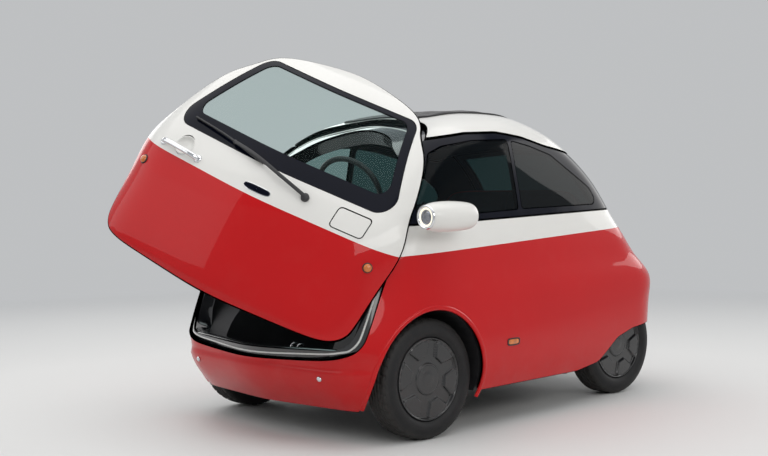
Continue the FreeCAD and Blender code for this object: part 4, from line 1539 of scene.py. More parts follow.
    def door_catch(self) -> None:
        """Two small bright hoops on the sill that the door's lock grips."""
        catch = Pattern()
        for y in (0.222, 0.268):
            hoop = smooth_path([(1.17, y, 0.37), (1.17, y, 0.4), (1.163, y, 0.412), (1.15, y, 0.415),
                                (1.137, y, 0.412), (1.13, y, 0.4), (1.13, y, 0.37)], 0.004)
            swept(catch, hoop, steady(hoop, (0, 1, 0)), circle(0.0042, 12))
        self.lay(catch, "door_catch", "chrome", "chrome")

    def lining(self) -> None:
        """Dark lining inside the body's walls."""
        r = self.regions
        wheel = r.disc(AXLE_X, WHEEL_R, self.arch_r + 0.02)
        region = np.minimum.reduce([self.foot(r.x) - 0.004 - r.z, -self.door - 0.002, -wheel,
                                    -self.skirt - 0.006, -self.hatch - 0.01, r.z - 0.175])
        skin = SkinPanel(self.form, region, ring=True, roll=0.0005, depth=0.002, lift=-0.034, back=False,
                         lattice=7, spacing=0.015)
        self.lay(skin.pattern(), "cabin_lining", "cabin_lining", "black_trim")

    def arch_lips(self) -> None:
        """Rolled red lips round the front wheel arches."""
        made = Pattern()
        points, normals = self._arch_line(self.arch_r + 0.001)
        for flip in ([1, 1, 1], [1, -1, 1]):
            swept(made, (points - normals * 0.003) * flip, normals * flip, oval(0.011, 0.0075, 2.2, 16))
        self.lay(made, "arch_lips", "red_paint", "red_paint")

    def _arch_line(self, r: float) -> tuple[Array, Array]:
        """Points and normals of the skin along a circle about the left front wheel, above the sill."""
        turns = np.radians(-38.0 + 256.0 * np.arange(90) / 89)
        circle_points = [(AXLE_X + r * math.cos(a), WHEEL_R + r * math.sin(a)) for a in turns]
        found = [self.spots.side(x, z) for x, z in circle_points if z >= 0.146]
        points, normals = (np.array(part) for part in zip(*found))
        for _ in range(12):
            normals[1:-1] = (normals[:-2] + 2 * normals[1:-1] + normals[2:]) / 4
        return points, unit(normals)

    def build(self) -> None:
        """Makes the shell's pieces."""
        self.painted_body()
        self.roof_shell()
        self.side_windows()
        self.opening()
        self.door_catch()
        self.lining()
        self.arch_lips()
@dataclass
class FrontDoor(Assembly):
    """The single front door, drawn closed and turned open about its slanted axis."""

    shell: Shell
    belt_z: float = 0.813
    edge_roll: float = 0.013
    hole_roll: float = 0.0008
    cup: tuple[float, float, float] = (0.418, 0.87, 0.044)
    screen: Array = field(init=False)
    body = Body.DOOR
    turn = DOOR_TURN

    def __post_init__(self) -> None:
        """Works out the windscreen's hole."""
        self.screen = self.shell.regions.cross([(-573, 945), (573, 945), (393, 1329), (-393, 1329)],
                                               [60, 60, 75, 75])

    def skin(self) -> None:
        """Red lower skin and white upper skin round the windscreen."""
        shell, r = self.shell, self.shell.regions
        crisp = self.edge_roll - self.hole_roll
        both = np.minimum(shell.door - shell.shut_gap, crisp - self.screen)
        hole = r.cross([(355, 829), (506, 829), (506, 918), (355, 918)], [17] * 4)
        y, z, radius = self.cup
        cup = np.minimum(radius - np.hypot(r.y - y, r.z - z), r.x - NOSE_FROM)
        skin = SkinPanel(shell.form, np.minimum(both, crisp - hole), roll=self.edge_roll, depth=0.0175,
                         right=np.minimum(both, crisp - cup), crisp=self.hole_roll, outer_only=True).pattern()
        red, white = skin.split(lambda p: self.belt_z - p[:, 2])
        self.lay(red, "door_skin_red", ("red_paint", "cabin_lining"), "red_paint", "door_lower")
        self.lay(white, "door_skin_white", ("white_paint", "cabin_lining"), "white_paint", "door_upper")

    def screen_glass(self) -> None:
        """Black border and the clear screen inside it."""
        form = self.shell.form
        clear = self.shell.regions.cross([(-500, 1015), (500, 1015), (362, 1311), (-362, 1311)],
                                         [38, 38, 60, 60])
        border = SkinPanel(form, np.minimum(self.screen, -clear), inset=0.0005, roll=0.001, depth=0.006,
                           lift=-0.001, lattice=3)
        self.lay(border.pattern(), "screen_border", ("black_gloss", "black_trim"), "black_gloss",
                 "windscreen_border")
        glass = SkinPanel(form, clear, inset=-0.002, roll=0.0005, depth=0.001, lift=-0.0025, back=False,
                          lattice=6)
        self.lay(glass.pattern(), "screen_glass", "clear_glass", "clear_glass", "windscreen")

    def build(self) -> None:
        """Makes the door's pieces."""
        self.skin()
        self.screen_glass()


@dataclass
class DoorFittings(Assembly):
    """What sits on the door: signals, badge, handle, wiper, flap, dash bar and steering wheel."""

    shell: Shell
    ring_centre: tuple[float, float, float] = (0.645, 0.215, 0.92)
    ring_lean: tuple[float, float, float] = (-0.8, 0.0, 0.42)
    ring_r: float = 0.162
    ring_section: float = 0.0125
    body = Body.DOOR
    turn = DOOR_TURN

    def _over(self, stations: Sequence[tuple[float, float, float]], step: float = 0.008) -> tuple[Array,
                                                                                                  Array]:
        """Soft path over the nose, and its normals, through stations of y, z and height over the skin."""
        found = [(*self.shell.spots.nose(y, z), h) for y, z, h in stations]
        path = smooth_path([p + n * h for p, n, h in found], step)
        normals = np.array([n for _, n, _ in found])
        return path, sampled(normals, np.linspace(0, 1, len(normals)), np.linspace(0, 1, len(path)))

    def signals(self) -> None:
        """Round amber signals on small dark bases."""
        lens, base = Pattern(), Pattern()
        dome = [(0.003 + 0.0135 * math.sin(a), 0.0182 * math.cos(a)) for a in np.linspace(0, math.pi / 2, 9)]
        for y in (0.578, -0.578):
            p, n = self.shell.spots.nose(y, 0.735)
            turned(base, p, n, [(-0.004, 0.0), (-0.004, 0.0225), (0.002, 0.022), (0.0045, 0.0205),
                                (0.0045, 0.018)], 32)
            turned(lens, p, n, dome, 32)
        self.lay(lens, "signal_lens", "amber_lens", "amber_lens", "turn_signals")
        self.lay(base, "signal_base", "black_trim", "black_trim")

    def badge(self) -> None:
        """Plain oval plate with a thin bright rim."""
        p, n = self.shell.spots.nose(0.012, 0.846)
        across = unit(np.cross(ALONG_Z, n))
        up = np.cross(n, across)
        made = Pattern()
        for w, h, low, high, finish in ((0.066, 0.0165, -0.006, 0.0022, 1),
                                        (0.0635, 0.014, 0.002, 0.0034, 0)):
            rows = []
            for scale, lift in ((1.0, low), (1.0, high - 0.0008), (0.995, high), (0.5, high + 0.0008),
                                (0.05, high + 0.001)):
                places = (p + across * a * scale + up * b * scale for a, b in oval(w, h, 2.9, 56))
                found = (self.shell.spots.nose(float(q[1]), float(q[2])) for q in places)
                rows.append([on + away * lift for on, away in found])
            made.rows(np.array(rows), around=True, finish=finish)
        self.lay(made, "badge_blank", ("black_gloss", "chrome"), "black_gloss", "badge_plate")

    def handle(self) -> None:
        """Chrome grip on two feet, with the round cup for the fingers behind it."""
        made = Pattern()
        path, out = self._over([(-0.526, 0.845, 0.0), (-0.519, 0.845, 0.013), (-0.496, 0.845, 0.025),
                                (-0.42, 0.844, 0.03), (-0.346, 0.843, 0.025), (-0.324, 0.843, 0.013),
                                (-0.317, 0.843, 0.0)], 0.006)
        swept(made, path, out, oval(0.0115, 0.0085, 2.2, 20))
        for y in (-0.524, -0.319):
            p, n = self.shell.spots.nose(y, 0.845)
            turned(made, p, n, [(-0.003, 0.0), (-0.003, 0.02), (0.003, 0.019), (0.008, 0.014), (0.01, 0.0)],
                   28)
        self.lay(made, "door_grip", "chrome", "chrome", "door_handle")
        cup = Pattern()
        p, n = self.shell.spots.nose(-0.418, 0.87)
        turned(cup, p, n, [(-0.003, 0.0475), (0.0012, 0.0475), (0.0022, 0.0455), (0.0014, 0.0432),
                           (-0.004, 0.0415), (-0.01, 0.036), (-0.0145, 0.024), (-0.016, 0.0)], 48)
        self.lay(cup, "door_grip_cup", "white_paint", "white_paint")

    def wiper(self) -> None:
        """Wiper arm and blade from its round pivot."""
        made = Pattern()
        p, n = self.shell.spots.nose(0.211, 0.892)
        turned(made, p, n, [(-0.002, 0.0), (-0.002, 0.019), (0.012, 0.018), (0.018, 0.014), (0.021, 0.0)], 28)
        path, out = self._over([(0.211, 0.892, 0.017), (0.15, 0.905, 0.026), (0.06, 0.925, 0.03),
                                (-0.06, 0.95, 0.028), (-0.2, 0.965, 0.018)])
        swept(made, path, out, oval(0.0085, 0.004, 2.5, 14))
        path, out = self._over([(-0.03, 0.943, 0.012), (-0.12, 0.955, 0.014), (-0.24, 0.97, 0.015),
                                (-0.35, 0.978, 0.013), (-0.455, 0.984, 0.009)])
        swept(made, path, out, oval(0.0045, 0.006, 3.0, 14))
        swept(made, path - out * 0.006, out, oval(0.0018, 0.006, 3.0, 8))
        p, n = self.shell.spots.nose(-0.2, 0.965)
        turned(made, p, n, [(0.01, 0.0), (0.01, 0.01), (0.021, 0.009), (0.023, 0.0)], 20)
        self.lay(made, "wiper_arm", "black_trim", "black_trim", "wiper")

    def flap(self) -> None:
        """Charging flap and the socket tray behind it."""
        form, r = self.shell.form, self.shell.regions
        lid = r.cross([(358, 832), (503, 832), (503, 914.5), (358, 914.5)], [14] * 4)
        skin = SkinPanel(form, lid, Window.LEFT, roll=0.0008, depth=0.0045, lattice=3).pattern()
        self.lay(skin, "flap_lid", ("white_paint", "black_trim"), "white_paint", "charge_flap",
                 body=Body.FLAP)
        hole = r.cross([(352, 826), (509, 826), (509, 921), (352, 921)], [18] * 4)
        panel = SkinPanel(form, hole, Window.LEFT, roll=0.0005, depth=0.001, lift=-0.021, back=False,
                          lattice=3)
        self.lay(panel.pattern(), "socket_tray", "black_trim", "black_trim")
        face = Pattern()
        p, n = self.shell.spots.nose(0.43, 0.872)
        turned(face, p - n * 0.021, n, [(0.0, 0.034), (0.008, 0.034), (0.0095, 0.031), (0.008, 0.028),
                                        (-0.002, 0.027), (-0.002, 0.0)], 36)
        side = unit(np.cross(n, ALONG_Z))
        for a in 2 * np.pi * np.arange(6) / 6:
            pin = p - n * 0.022 + (side * math.cos(a) + np.cross(n, side) * math.sin(a)) * 0.015
            turned(face, pin, n, [(-0.001, 0.0045), (0.003, 0.004), (0.003, 0.0)], 12)
        self.lay(face, "socket_face", "grey_trim", "black_trim")

    def dash(self) -> None:
        """Dash bar across the door, with the steering column hung from it."""
        made = Pattern()
        path = smooth_path([(0.985, -0.545, 0.882), (0.945, -0.48, 0.888), (0.915, -0.25, 0.894),
                            (0.905, 0.0, 0.895), (0.915, 0.25, 0.894), (0.945, 0.48, 0.888),
                            (0.985, 0.545, 0.882)], 0.02)
        swept(made, path, steady(path, (0, 0, 1)), oval(0.032, 0.024, 2.8, 24))
        line = np.array(self.ring_centre) - unit(np.array(self.ring_lean)) * np.linspace(0.3, 0.042, 10)[:,
                                                                                                         None]
        swept(made, line, steady(line, (0, 1, 0)), oval(0.026, 0.024, 2.4, 20))
        hanger = smooth_path([(0.905, 0.215, 0.895), (0.892, 0.215, 0.86), (0.874, 0.215, 0.815)], 0.012)
        swept(made, hanger, steady(hanger, (0, 1, 0)), oval(0.018, 0.024, 3.0, 16))
        self.lay(made, "dash_rail", "grey_trim", "black_trim", "dash_bar")

    def steering(self) -> None:
        """Steering wheel with two spokes and a soft hub pad."""
        made = Pattern()
        lean, centre = unit(np.array(self.ring_lean)), np.array(self.ring_centre)
        s = self.ring_section
        ring = [(s * math.sin(a), self.ring_r + s * math.cos(a)) for a in np.linspace(0, 2 * math.pi, 17)]
        turned(made, centre, lean, ring, 72)
        up = np.array([lean[2], 0.0, -lean[0]])
        for side in (1.0, -1.0):
            stations = ((0.02, 0.025, 0.004), (0.018, 0.09, 0.012), (0.004, self.ring_r - 0.004, 0.0))
            path = smooth_path([centre - lean * deep + np.array([0, reach * side, 0]) - up * drop
                                for deep, reach, drop in stations], 0.01)
            swept(made, path, steady(path, lean), oval(0.017, 0.006, 2.6, 18))
        turned(made, centre, lean, [(-0.045, 0.0), (-0.045, 0.038), (-0.02, 0.05), (-0.008, 0.052),
                                    (-0.002, 0.046), (0.002, 0.03), (0.003, 0.0)], 40)
        self.lay(made, "steering_ring", "black_trim", "black_trim", "steering_wheel", body=Body.STEERING)

    def build(self) -> None:
        """Makes all of the door's fittings."""
        self.signals()
        self.badge()
        self.handle()
        self.wiper()
        self.flap()
        self.dash()
        self.steering()


@dataclass
class SidePods(Assembly):
    """Round headlamps whose white pods carry the mirrors behind."""

    spots: Spots
    centre: tuple[float, float, float] = (0.886, 0.79, 0.968)

    def build(self) -> None:
        """Makes both pods, lamps and mirrors."""
        body, ring, strip, bowl, lens, glass = (Pattern() for _ in range(6))
        rough = np.array([(0.004, 0.05), (-0.01, 0.055), (-0.04, 0.0618), (-0.11, 0.066), (-0.19, 0.0635),
                          (-0.24, 0.058), (-0.26, 0.052)])
        pod = natural_spline(np.linspace(0, 1, len(rough)), rough, np.linspace(0, 1, 30))
        pod = np.concatenate([[(0.0, 0.0455)], pod, [(-0.2635, 0.049), (-0.264, 0.0465), (-0.26, 0.0455)]])
        bezel = [(0.0065 * math.sin(a) + 0.002, 0.0465 + 0.0065 * math.cos(a))
                 for a in np.linspace(0, 2 * math.pi, 13)]
        profiles = (
            (body, pod[::-1], 56),
            (ring, bezel, 56),
            (strip, [(0.0015, 0.0405), (0.0045, 0.0385), (0.0045, 0.0335), (0.0015, 0.0315)], 56),
            (bowl, [(-0.001, 0.0), (-0.001, 0.013), (0.001, 0.016), (0.0005, 0.021), (-0.006, 0.025),
                    (-0.003, 0.031), (0.0015, 0.0315), (0.0015, 0.0415)], 48),
            (lens, [(0.0085, 0.0), (0.008, 0.02), (0.0065, 0.033), (0.004, 0.0415)], 48),
            (glass, [(-0.2655, 0.0), (-0.2652, 0.02), (-0.264, 0.04), (-0.262, 0.046)], 48))
        for side in (1.0, -1.0):
            c = np.array(self.centre) * [1, side, 1]
            for made, profile, sides in profiles:
                turned(made, c, ALONG_X, profile, sides)
                if made is body:
                    foot = smooth_path([c + [-0.125, -0.03 * side, -0.03], c + [-0.13, -0.085 * side, -0.03],
                                        [0.742, 0.652 * side, 0.941]], 0.008)
                    swept(body, foot, steady(foot, (0, 0, 1)), oval(0.046, 0.0165, 2.4, 24))
        for made, name, finish, slot, *nodes in (
                (body, "pod_body", "white_paint", "white_paint", "lamp_pods"),
                (ring, "lamp_bezel", "chrome", "chrome", "lamp_rings"),
                (strip, "lamp_strip", "light_strip", "lamp_lens"),
                (bowl, "lamp_bowl", "lamp_bowl", "chrome"),
                (lens, "lamp_cover", "lamp_glass", "lamp_lens", "lamp_lenses"),
                (glass, "mirror_face", "mirror", "mirror", "mirror_glasses")):
            self.lay(made, name, finish, slot, *nodes)


@dataclass
class SmallTrim(Assembly):
    """Studs, side markers, tail lamps, plate carrier and other trim on the body."""

    shell: Shell

    @staticmethod
    def _pad(made: Pattern, at: Callable[..., tuple[Array, Array]], middle: Point2, size: Point2,
             levels: Sequence[Point2], power: float = 4.0, **where: float) -> None:
        """Soft-cornered pad that follows the skin.

        Args:
            made: Mesh that gets it.
            at: Finds a point and normal of the skin.
            middle: The pad's middle, in at's two coordinates.
            size: Its half sizes.
            levels: How far its outline is scaled and lifted, level by level.
            power: How square its corners are.
            **where: Anything else that at needs.
        """
        rows = []
        for scale, lift in levels:
            found = (at(middle[0] + p * scale, middle[1] + q * scale, **where) for p,
                     q in oval(*size, power, 48))
            rows.append([on + out * lift for on, out in found])
        made.rows(np.array(rows), around=True)

    def studs(self) -> None:
        """Chrome studs low on the front bumper."""
        made = Pattern()
        for y in (0.455, -0.455):
            p, n = self.shell.spots.nose(y, 0.288)
            turned(made, p, n, [(-0.003, 0.0), (-0.003, 0.0125), (0.003, 0.0125), (0.007, 0.0105),
                                (0.0095, 0.006), (0.0102, 0.0)], 28)
        self.lay(made, "bumper_stud", "chrome", "chrome", "bumper_studs")

    def markers(self) -> None:
        """Amber side markers in dark frames."""
        lens, rim = Pattern(), Pattern()
        at, middle = self.shell.spots.side, (0.261, 0.383)
        for side in (1.0, -1.0):
            self._pad(rim, at, middle, (0.046, 0.0175), ((1.0, -0.002), (1.0, 0.0025), (0.96, 0.0036),
                                                         (0.86, 0.0036), (0.84, 0.001), (0.05, 0.001)),
                                                         side=side)
            self._pad(lens, at, middle, (0.037, 0.0115), ((1.0, 0.0), (1.0, 0.003), (0.9, 0.0042),
                                                          (0.05, 0.0046)),
                      side=side)
        self.lay(rim, "marker_rim", "black_trim", "black_trim")
        self.lay(lens, "marker_lens", "amber_lens", "amber_lens", "side_markers")

    def tail(self) -> None:
        """Long tail lamps with chrome rims, on the hatch."""
        lens, rim = Pattern(), Pattern()
        at = self.shell.spots.tail
        for y in (0.33, -0.33):
            self._pad(rim, at, (y, 0.73), (0.075, 0.018), ((1.0, -0.002), (1.0, 0.0025), (0.97, 0.0042),
                                                             (0.9, 0.003), (0.88, 0.0)), 2.8)
            self._pad(lens, at, (y, 0.73), (0.0675, 0.0135), ((1.0, 0.0), (1.0, 0.0025), (0.93, 0.0045),
                                                               (0.5, 0.0055), (0.05, 0.0058)), 2.6)
        self.lay(rim, "tail_lamp_rim", "chrome", "chrome", body=Body.HATCH)
        self.lay(lens, "tail_lamp_lens", "red_lens", "red_lens", "tail_lamps", body=Body.HATCH)

    def plate(self) -> None:
        """Bare plate on its carrier, with two bolts."""
        made = Pattern()
        centre, across, out = np.array([-1.178, 0.0, 0.515]), np.array([0, -1.0, 0]), -ALONG_X
        outline_pad(made, centre, across, ALONG_Z, out, oval(0.262, 0.057, 14.0, 96),
                    ((1.0, -0.1), (1.0, -0.0015), (0.996, 0.0)), 0)
        outline_pad(made, centre, across, ALONG_Z, out, oval(0.252, 0.05, 14.0, 96),
                    ((1.0, -0.001), (1.0, 0.0012), (0.997, 0.0016)), 1)
        for y in (0.145, -0.145):
            turned(made, centre + [0, y, 0], out, [(-0.001, 0.0), (-0.001, 0.0055), (0.0028, 0.005),
                                                   (0.004, 0.003), (0.0042, 0.0)], 16, 2)
        self.lay(made, "plate_carrier", ("black_trim", "plate_blank", "chrome"), "black_trim")

    def build(self) -> None:
        """Makes the body's small trim."""
        self.studs()
        self.markers()
        self.tail()
        self.plate()


@dataclass
class FoldingTop(Assembly):
    """Black cloth roof stretched over its bows, with a corded hem."""

    shell: Shell
    front: float = 0.425
    rear: float = -0.235
    half: float = 0.325
    def _height(self, x: Array, y: Array) -> Array:
        """Roof height on a grid, softened."""
        z = np.array([[self.shell.spots.top(float(a), float(b)) for a, b in zip(ra, rb)] for ra,
                      rb in zip(x, y)])
        for _ in range(14):
            wide = np.pad(z, 1, mode="edge")
            z = (wide[:-2, 1:-1] + wide[2:, 1:-1] + wide[1:-1, :-2] + wide[1:-1, 2:] + 4 * z) / 8
        return z

    def build(self) -> None:
        """Makes the cloth and its hem."""
        u, v, square, scale = soft_square(97, 89, 9)
        mid, reach = (self.front + self.rear) / 2, (self.front - self.rear) / 2
        x, y = mid + u * reach * scale, v * self.half * scale
        z = self._height(x, y)
        edge = np.clip((1.0 - square) / 0.07, 0, 1)
        lift = 0.0015 + 0.0085 * np.sin(edge * math.pi / 2)
        bows = 0.0022 * np.cos(u * 3.5 * math.pi) * edge
        folds = 0.0007 * np.sin(v * 19.0 + 3.0 * u) * np.sin(u * 3.5 * math.pi) * edge
        grid = np.stack([x, y, z + lift + bows + folds], 2)
        cloth = Pattern()
        cloth.rows(grid)
        made = self.lay(cloth, "roof_cloth_top", "roof_cloth", "roof_cloth", "folding_roof")
        rim = smooth_loop(rim_of(grid), 3)
        cord = Pattern()
        swept(cord, rim + [0, 0, 0.0015], np.tile(ALONG_Z, (len(rim), 1)), circle(0.0055, 10), closed=True)
        hem = self.lay(cord, "roof_cloth_hem", "dark_rubber", "black_trim")


def smooth_loop(points: Array, rounds: int) -> Array:
    """A closed row of points, softened."""
    for _ in range(rounds):
        points = (np.roll(points, 1, 0) + 2 * points + np.roll(points, -1, 0)) / 4
    return points


@dataclass
class Wheels(Assembly):
    """Four tyres with grooved tread and ringed walls, and their six-panelled covers."""

    tyre_r: float = WHEEL_R
    tread_half: float = 0.051
    groove_deep: float = 0.0058
    slot_deep: float = 0.0045
    cover_turn: float = 10.0
    face_y: float = 0.05
    panel_rise: float = 0.011
    front_y: float = 0.6195
    rear_y: float = 0.4455

    def _tyre(self) -> Pattern:
        """One tyre about its own middle."""
        tread = np.linspace(-self.tread_half, self.tread_half, 45)
        drop = 0.0011 * (tread / self.tread_half) ** 2 + 0.0016 * (tread / self.tread_half) ** 4
        groove = np.zeros_like(tread)
        for at in (-0.029, -0.0095, 0.0095, 0.029):
            groove = np.maximum(groove, np.clip((0.0042 - np.abs(tread - at)) / 0.0012, 0, 1))
        wall = natural_spline(np.arange(6.0), np.array([(0.051, 0.2608), (0.06, 0.2545), (0.0665, 0.243),
                                                        (0.0722, 0.222), (0.0695, 0.201), (0.06, 0.1835)]),
                              np.linspace(0, 5, 34)[1:])
        ridge = np.zeros(len(wall))
        for at in (0.2465, 0.2385, 0.206, 0.1985):
            ridge = np.maximum(ridge, np.clip(1 - np.abs(wall[:, 1] - at) / 0.0022, 0, 1) * 0.0011)
        wall = np.stack([wall[:, 0] + ridge, wall[:, 1]], 1)
        foot = np.array([(0.056, 0.18), (0.045, 0.1785)])
        right = np.concatenate([wall, foot])
        profile = np.concatenate([right[::-1] * [-1, 1], np.stack([tread, self.tyre_r - drop], 1), right])
        deep = np.concatenate([np.zeros(len(right)), groove, np.zeros(len(right))])
        sides = 240
        k = np.arange(sides)
        grid = np.zeros((len(profile), sides, 3))
        for i, (y, r) in enumerate(profile):
            # Each block of the tread takes six points of the circle, and its slots lean across the tread.
            phase = ((k + 3.0 * y / 0.05) % 6) / 6.0
            slot = np.clip((0.13 - np.abs(phase - 0.5)) / 0.06, 0, 1)
            band = 1.0 if 0.034 < abs(y) < 0.06 else 0.8 if 0.0145 < abs(y) < 0.0245 else 0.0
            cut = band * slot * (1 - deep[i]) * (r > 0.25)
            radius = r - self.groove_deep * deep[i] - self.slot_deep * cut
            a = 2 * np.pi * k / sides
            grid[i] = np.stack([radius * np.cos(a), np.full(sides, y), radius * np.sin(a)], 1)
        made = Pattern()
        made.rows(grid[::-1], around=True)
        return made

    def _cover(self) -> Pattern:
        """Wheel cover and rim for the left side, its outer face towards +Y."""
        radii = np.concatenate([np.linspace(0.0, 0.058, 8), np.linspace(0.0605, 0.074, 9),
                                np.linspace(0.08, 0.092, 4), np.linspace(0.0945, 0.1735, 30),
                                [0.1755, 0.1775, 0.179, 0.18]])
        sides = 252
        a = 2 * np.pi * np.arange(sides) / sides
        r, t = np.meshgrid(radii, a, indexing="ij")
        x, z = r * np.cos(t), r * np.sin(t)
        # The face, then the hub with its ring groove and cap, six raised panels and the rim's lip.
        height = np.full(r.shape, self.face_y)
        height += 0.0065 * np.clip((0.071 - r) / 0.004, 0, 1)
        height -= 0.0018 * np.clip(1 - np.abs(r - 0.0625) / 0.002, 0, 1)
        height += 0.0012 * np.clip((0.03 - r) / 0.004, 0, 1)
        outline = np.array([(0.098, -0.024), (0.15, -0.061), (0.161, -0.056), (0.169, -0.028), (0.171, 0.0),
                            (0.169, 0.028), (0.161, 0.056), (0.15, 0.061), (0.098, 0.024)])
        best = np.full(r.shape, -1.0)
        for k in range(6):
            middle = math.radians(self.cover_turn + 30 + 60 * k)
            p = -math.sin(middle) * x + math.cos(middle) * z
            q = -math.cos(middle) * x - math.sin(middle) * z
            best = np.maximum(best, inside_distance(outline, p, q))
        height += self.panel_rise * np.clip((best + 0.0015) / 0.0045, 0, 1) ** 0.8
        height += 0.013 * np.clip((r - 0.1685) / 0.0055, 0, 1)
        height = np.where(r > 0.179, 0.0605, height)
        grid = np.stack([x, height, z], 2)
        made = Pattern()
        made.rows(grid[::-1], around=True)
        barrel = [(0.03, 0.023), (-0.0205, 0.0235), (-0.0205, 0.044), (-0.018, 0.048), (0.01, 0.056),
                  (0.034, 0.07), (0.04, 0.12), (0.036, 0.15), (0.02, 0.156), (-0.05, 0.16),
                  (-0.064, 0.168), (-0.0655, 0.176), (-0.062, 0.1803), (0.06, 0.1803), (0.064, 0.1795)]
        turned(made, np.zeros(3), np.array([0.0, 1.0, 0.0]), barrel, 72, 1)
        return made

    def build(self) -> None:
        """Makes the four wheels."""
        kinds = ((self._tyre(), "tyre_tread_", ("tyre_rubber",), "tyre", "tyre_"),
                 (self._cover(), "cover_", ("wheel_satin", "chassis_black"), "wheel_cover", "wheel_"))
        for end, x, y in (("front", AXLE_X, self.front_y), ("rear", -AXLE_X, self.rear_y)):
            for side, name in ((1.0, "left"), (-1.0, "right")):
                corner = f"{end}_{name}"
                for pattern, prefix, finishes, slot, node in kinds:
                    made = Pattern().take(pattern, side).build(
                        prefix + corner, [self.finishes[n] for n in finishes], Matrix.Identity(4))
                    made.location = (x - MIDDLE_X, y * side, self.tyre_r)
                    piece(made, "wheel_" + corner, slot, node + corner)


@dataclass
class Cabin(Assembly):
    """Bench cushions, their base and the finishes of what stays from the frame."""

    def _cushion(self, name: str, corner: Array, wide: Array, long: Array, thick: Array, crown: float,
                 seams: Sequence[float], node: str) -> None:
        """A crowned cushion whose sides pull in, with sewn channels and a corded edge.

        Args:
            name: The piece's name.
            corner: Middle of the cushion's underside.
            wide: Half width as a vector.
            long: Half length as a vector.
            thick: Thickness as a vector.
            crown: How far the middle stands up.
            seams: Places of the channels along its length, from -1 to 1.
            node: CAD node that it replaces.
        """
        u, v, square, scale = soft_square(61, 91, 8)
        pull_u = 1 - 0.02 * (1 - v ** 2) * np.abs(u) ** 3
        pull_v = 1 - 0.012 * (1 - u ** 2) * np.abs(v) ** 3
        rim = np.clip(1 - square, 0, 1)
        dome = 1 - (1 - np.clip(rim / 0.16, 0, 1)) ** 2.4
        rise = 0.8 + 0.2 * dome
        groove = np.zeros_like(u)
        for s in seams:
            groove = np.maximum(groove, np.exp(-((u - s) / 0.018) ** 2))
        groove = np.maximum(groove, np.exp(-(v / 0.008) ** 2))
        puff = crown * (1 - u ** 2) * (1 - v ** 2) - 0.01 * groove * np.clip(rim / 0.05, 0, 1)
        crease = 0.0012 * np.sin(v * 31 + u * 7) * np.sin(u * 9 + v * 5) * dome
        upward = unit(thick)
        top = (corner + (u * scale * pull_v)[..., None] * long + (v * scale * pull_u)[..., None] * wide
               + rise[..., None] * thick + (puff + crease)[..., None] * upward)
        low = corner + (u * scale * 0.985)[..., None] * long + (v * scale * 0.985)[..., None] * wide
        made = Pattern()
        made.rows(top)
        made.rows(low[::-1])
        loops = [rim_of(g) for g in (top, low)]
        side = [loops[0]]
        for t in (0.25, 0.5, 0.75):
            ring = loops[0] * (1 - t) + loops[1] * t
            side.append(ring + unit(ring - ring.mean(axis=0)) * 0.007 * math.sin(math.pi * t))
        side.append(loops[1])
        made.rows(np.array(side)[::-1], around=True)
        swept(made, smooth_loop(loops[0], 2), np.tile(upward, (len(loops[0]), 1)), circle(0.0042, 8),
              closed=True, finish=1)
        pad = self.lay(made, name, ("seat_cloth", "seat_trim"), "seat_cloth", node, keep_normals=False)

    def build(self, nodes: dict[str, bpy.types.Object]) -> None:
        """Makes the cushions and finishes the nodes that stay."""
        self._cushion("bench_cushion", np.array([-0.165, 0, 0.402]), np.array([0, 0.492, 0]),
                      np.array([0.228, 0, 0]), np.array([0.0, 0, 0.105]), 0.02, (-0.45, 0.1, 0.6),
                      "bench_base")
        slant = unit(np.array([-0.135, 0, 0.535]))
        face = np.array([slant[2], 0, -slant[0]])
        self._cushion("bench_backrest", np.array([-0.485, 0, 0.8]), np.array([0, 0.472, 0]), slant * 0.262,
                      face * 0.066, 0.014, (-0.5, 0.0, 0.5), "bench_back")
        kept = {"floor_pan": "floor_mat", "wheel_houses": "black_trim", "boot_floor": "floor_mat",
                "battery_block": "cast_case", "drive_block": "cast_case", "front_subframe": "chassis_black",
                "rear_axle": "chassis_black", "pedals": "black_trim", "hinge_pins": "chassis_black",
                "hinge_arms": "chassis_black", "hatch_knuckles": "black_gloss",
                "knuckle_left": "chassis_black", "knuckle_right": "chassis_black"}
        for name, finish in kept.items():
            mesh = nodes[name].data
            mesh.materials.clear()
            mesh.materials.append(self.finishes[finish])


@dataclass
class Hatch(Assembly):
    """Tail hatch with the rear window."""

    shell: Shell
    body = Body.HATCH

    def build(self) -> None:
        """Makes the hatch's skin and glass."""
        shell, form = self.shell, self.shell.form
        window = np.minimum(shell.hatch - 0.046, shell.regions.z - 1.002)
        region = np.minimum(shell.hatch - shell.shut_gap, 0.0035 - window)
        skin = SkinPanel(form, region, Window.TAIL, roll=0.005, depth=0.018, outer_only=True).pattern()
        red, rest = skin.split(lambda p: shell.belt(p[:, 0]) - p[:, 2])
        white, black = rest.split(lambda p: shell.foot(p[:, 0]) - p[:, 2])
        for part, name, finish, node in ((red, "hatch_red", "red_paint", "hatch_lower"),
                                         (white, "hatch_white", "white_paint", "hatch_band"),
                                         (black, "hatch_surround", "black_gloss", "hatch_frame")):
            self.lay(part, name, (finish, "cabin_lining"), finish, node)
        glass = SkinPanel(form, window, Window.TAIL, inset=0.001, roll=0.001, depth=0.004, lift=-0.001,
                          back=False, lattice=5)
        self.lay(glass.pattern(), "hatch_glass", "dark_glass", "dark_glass", "rear_glass")


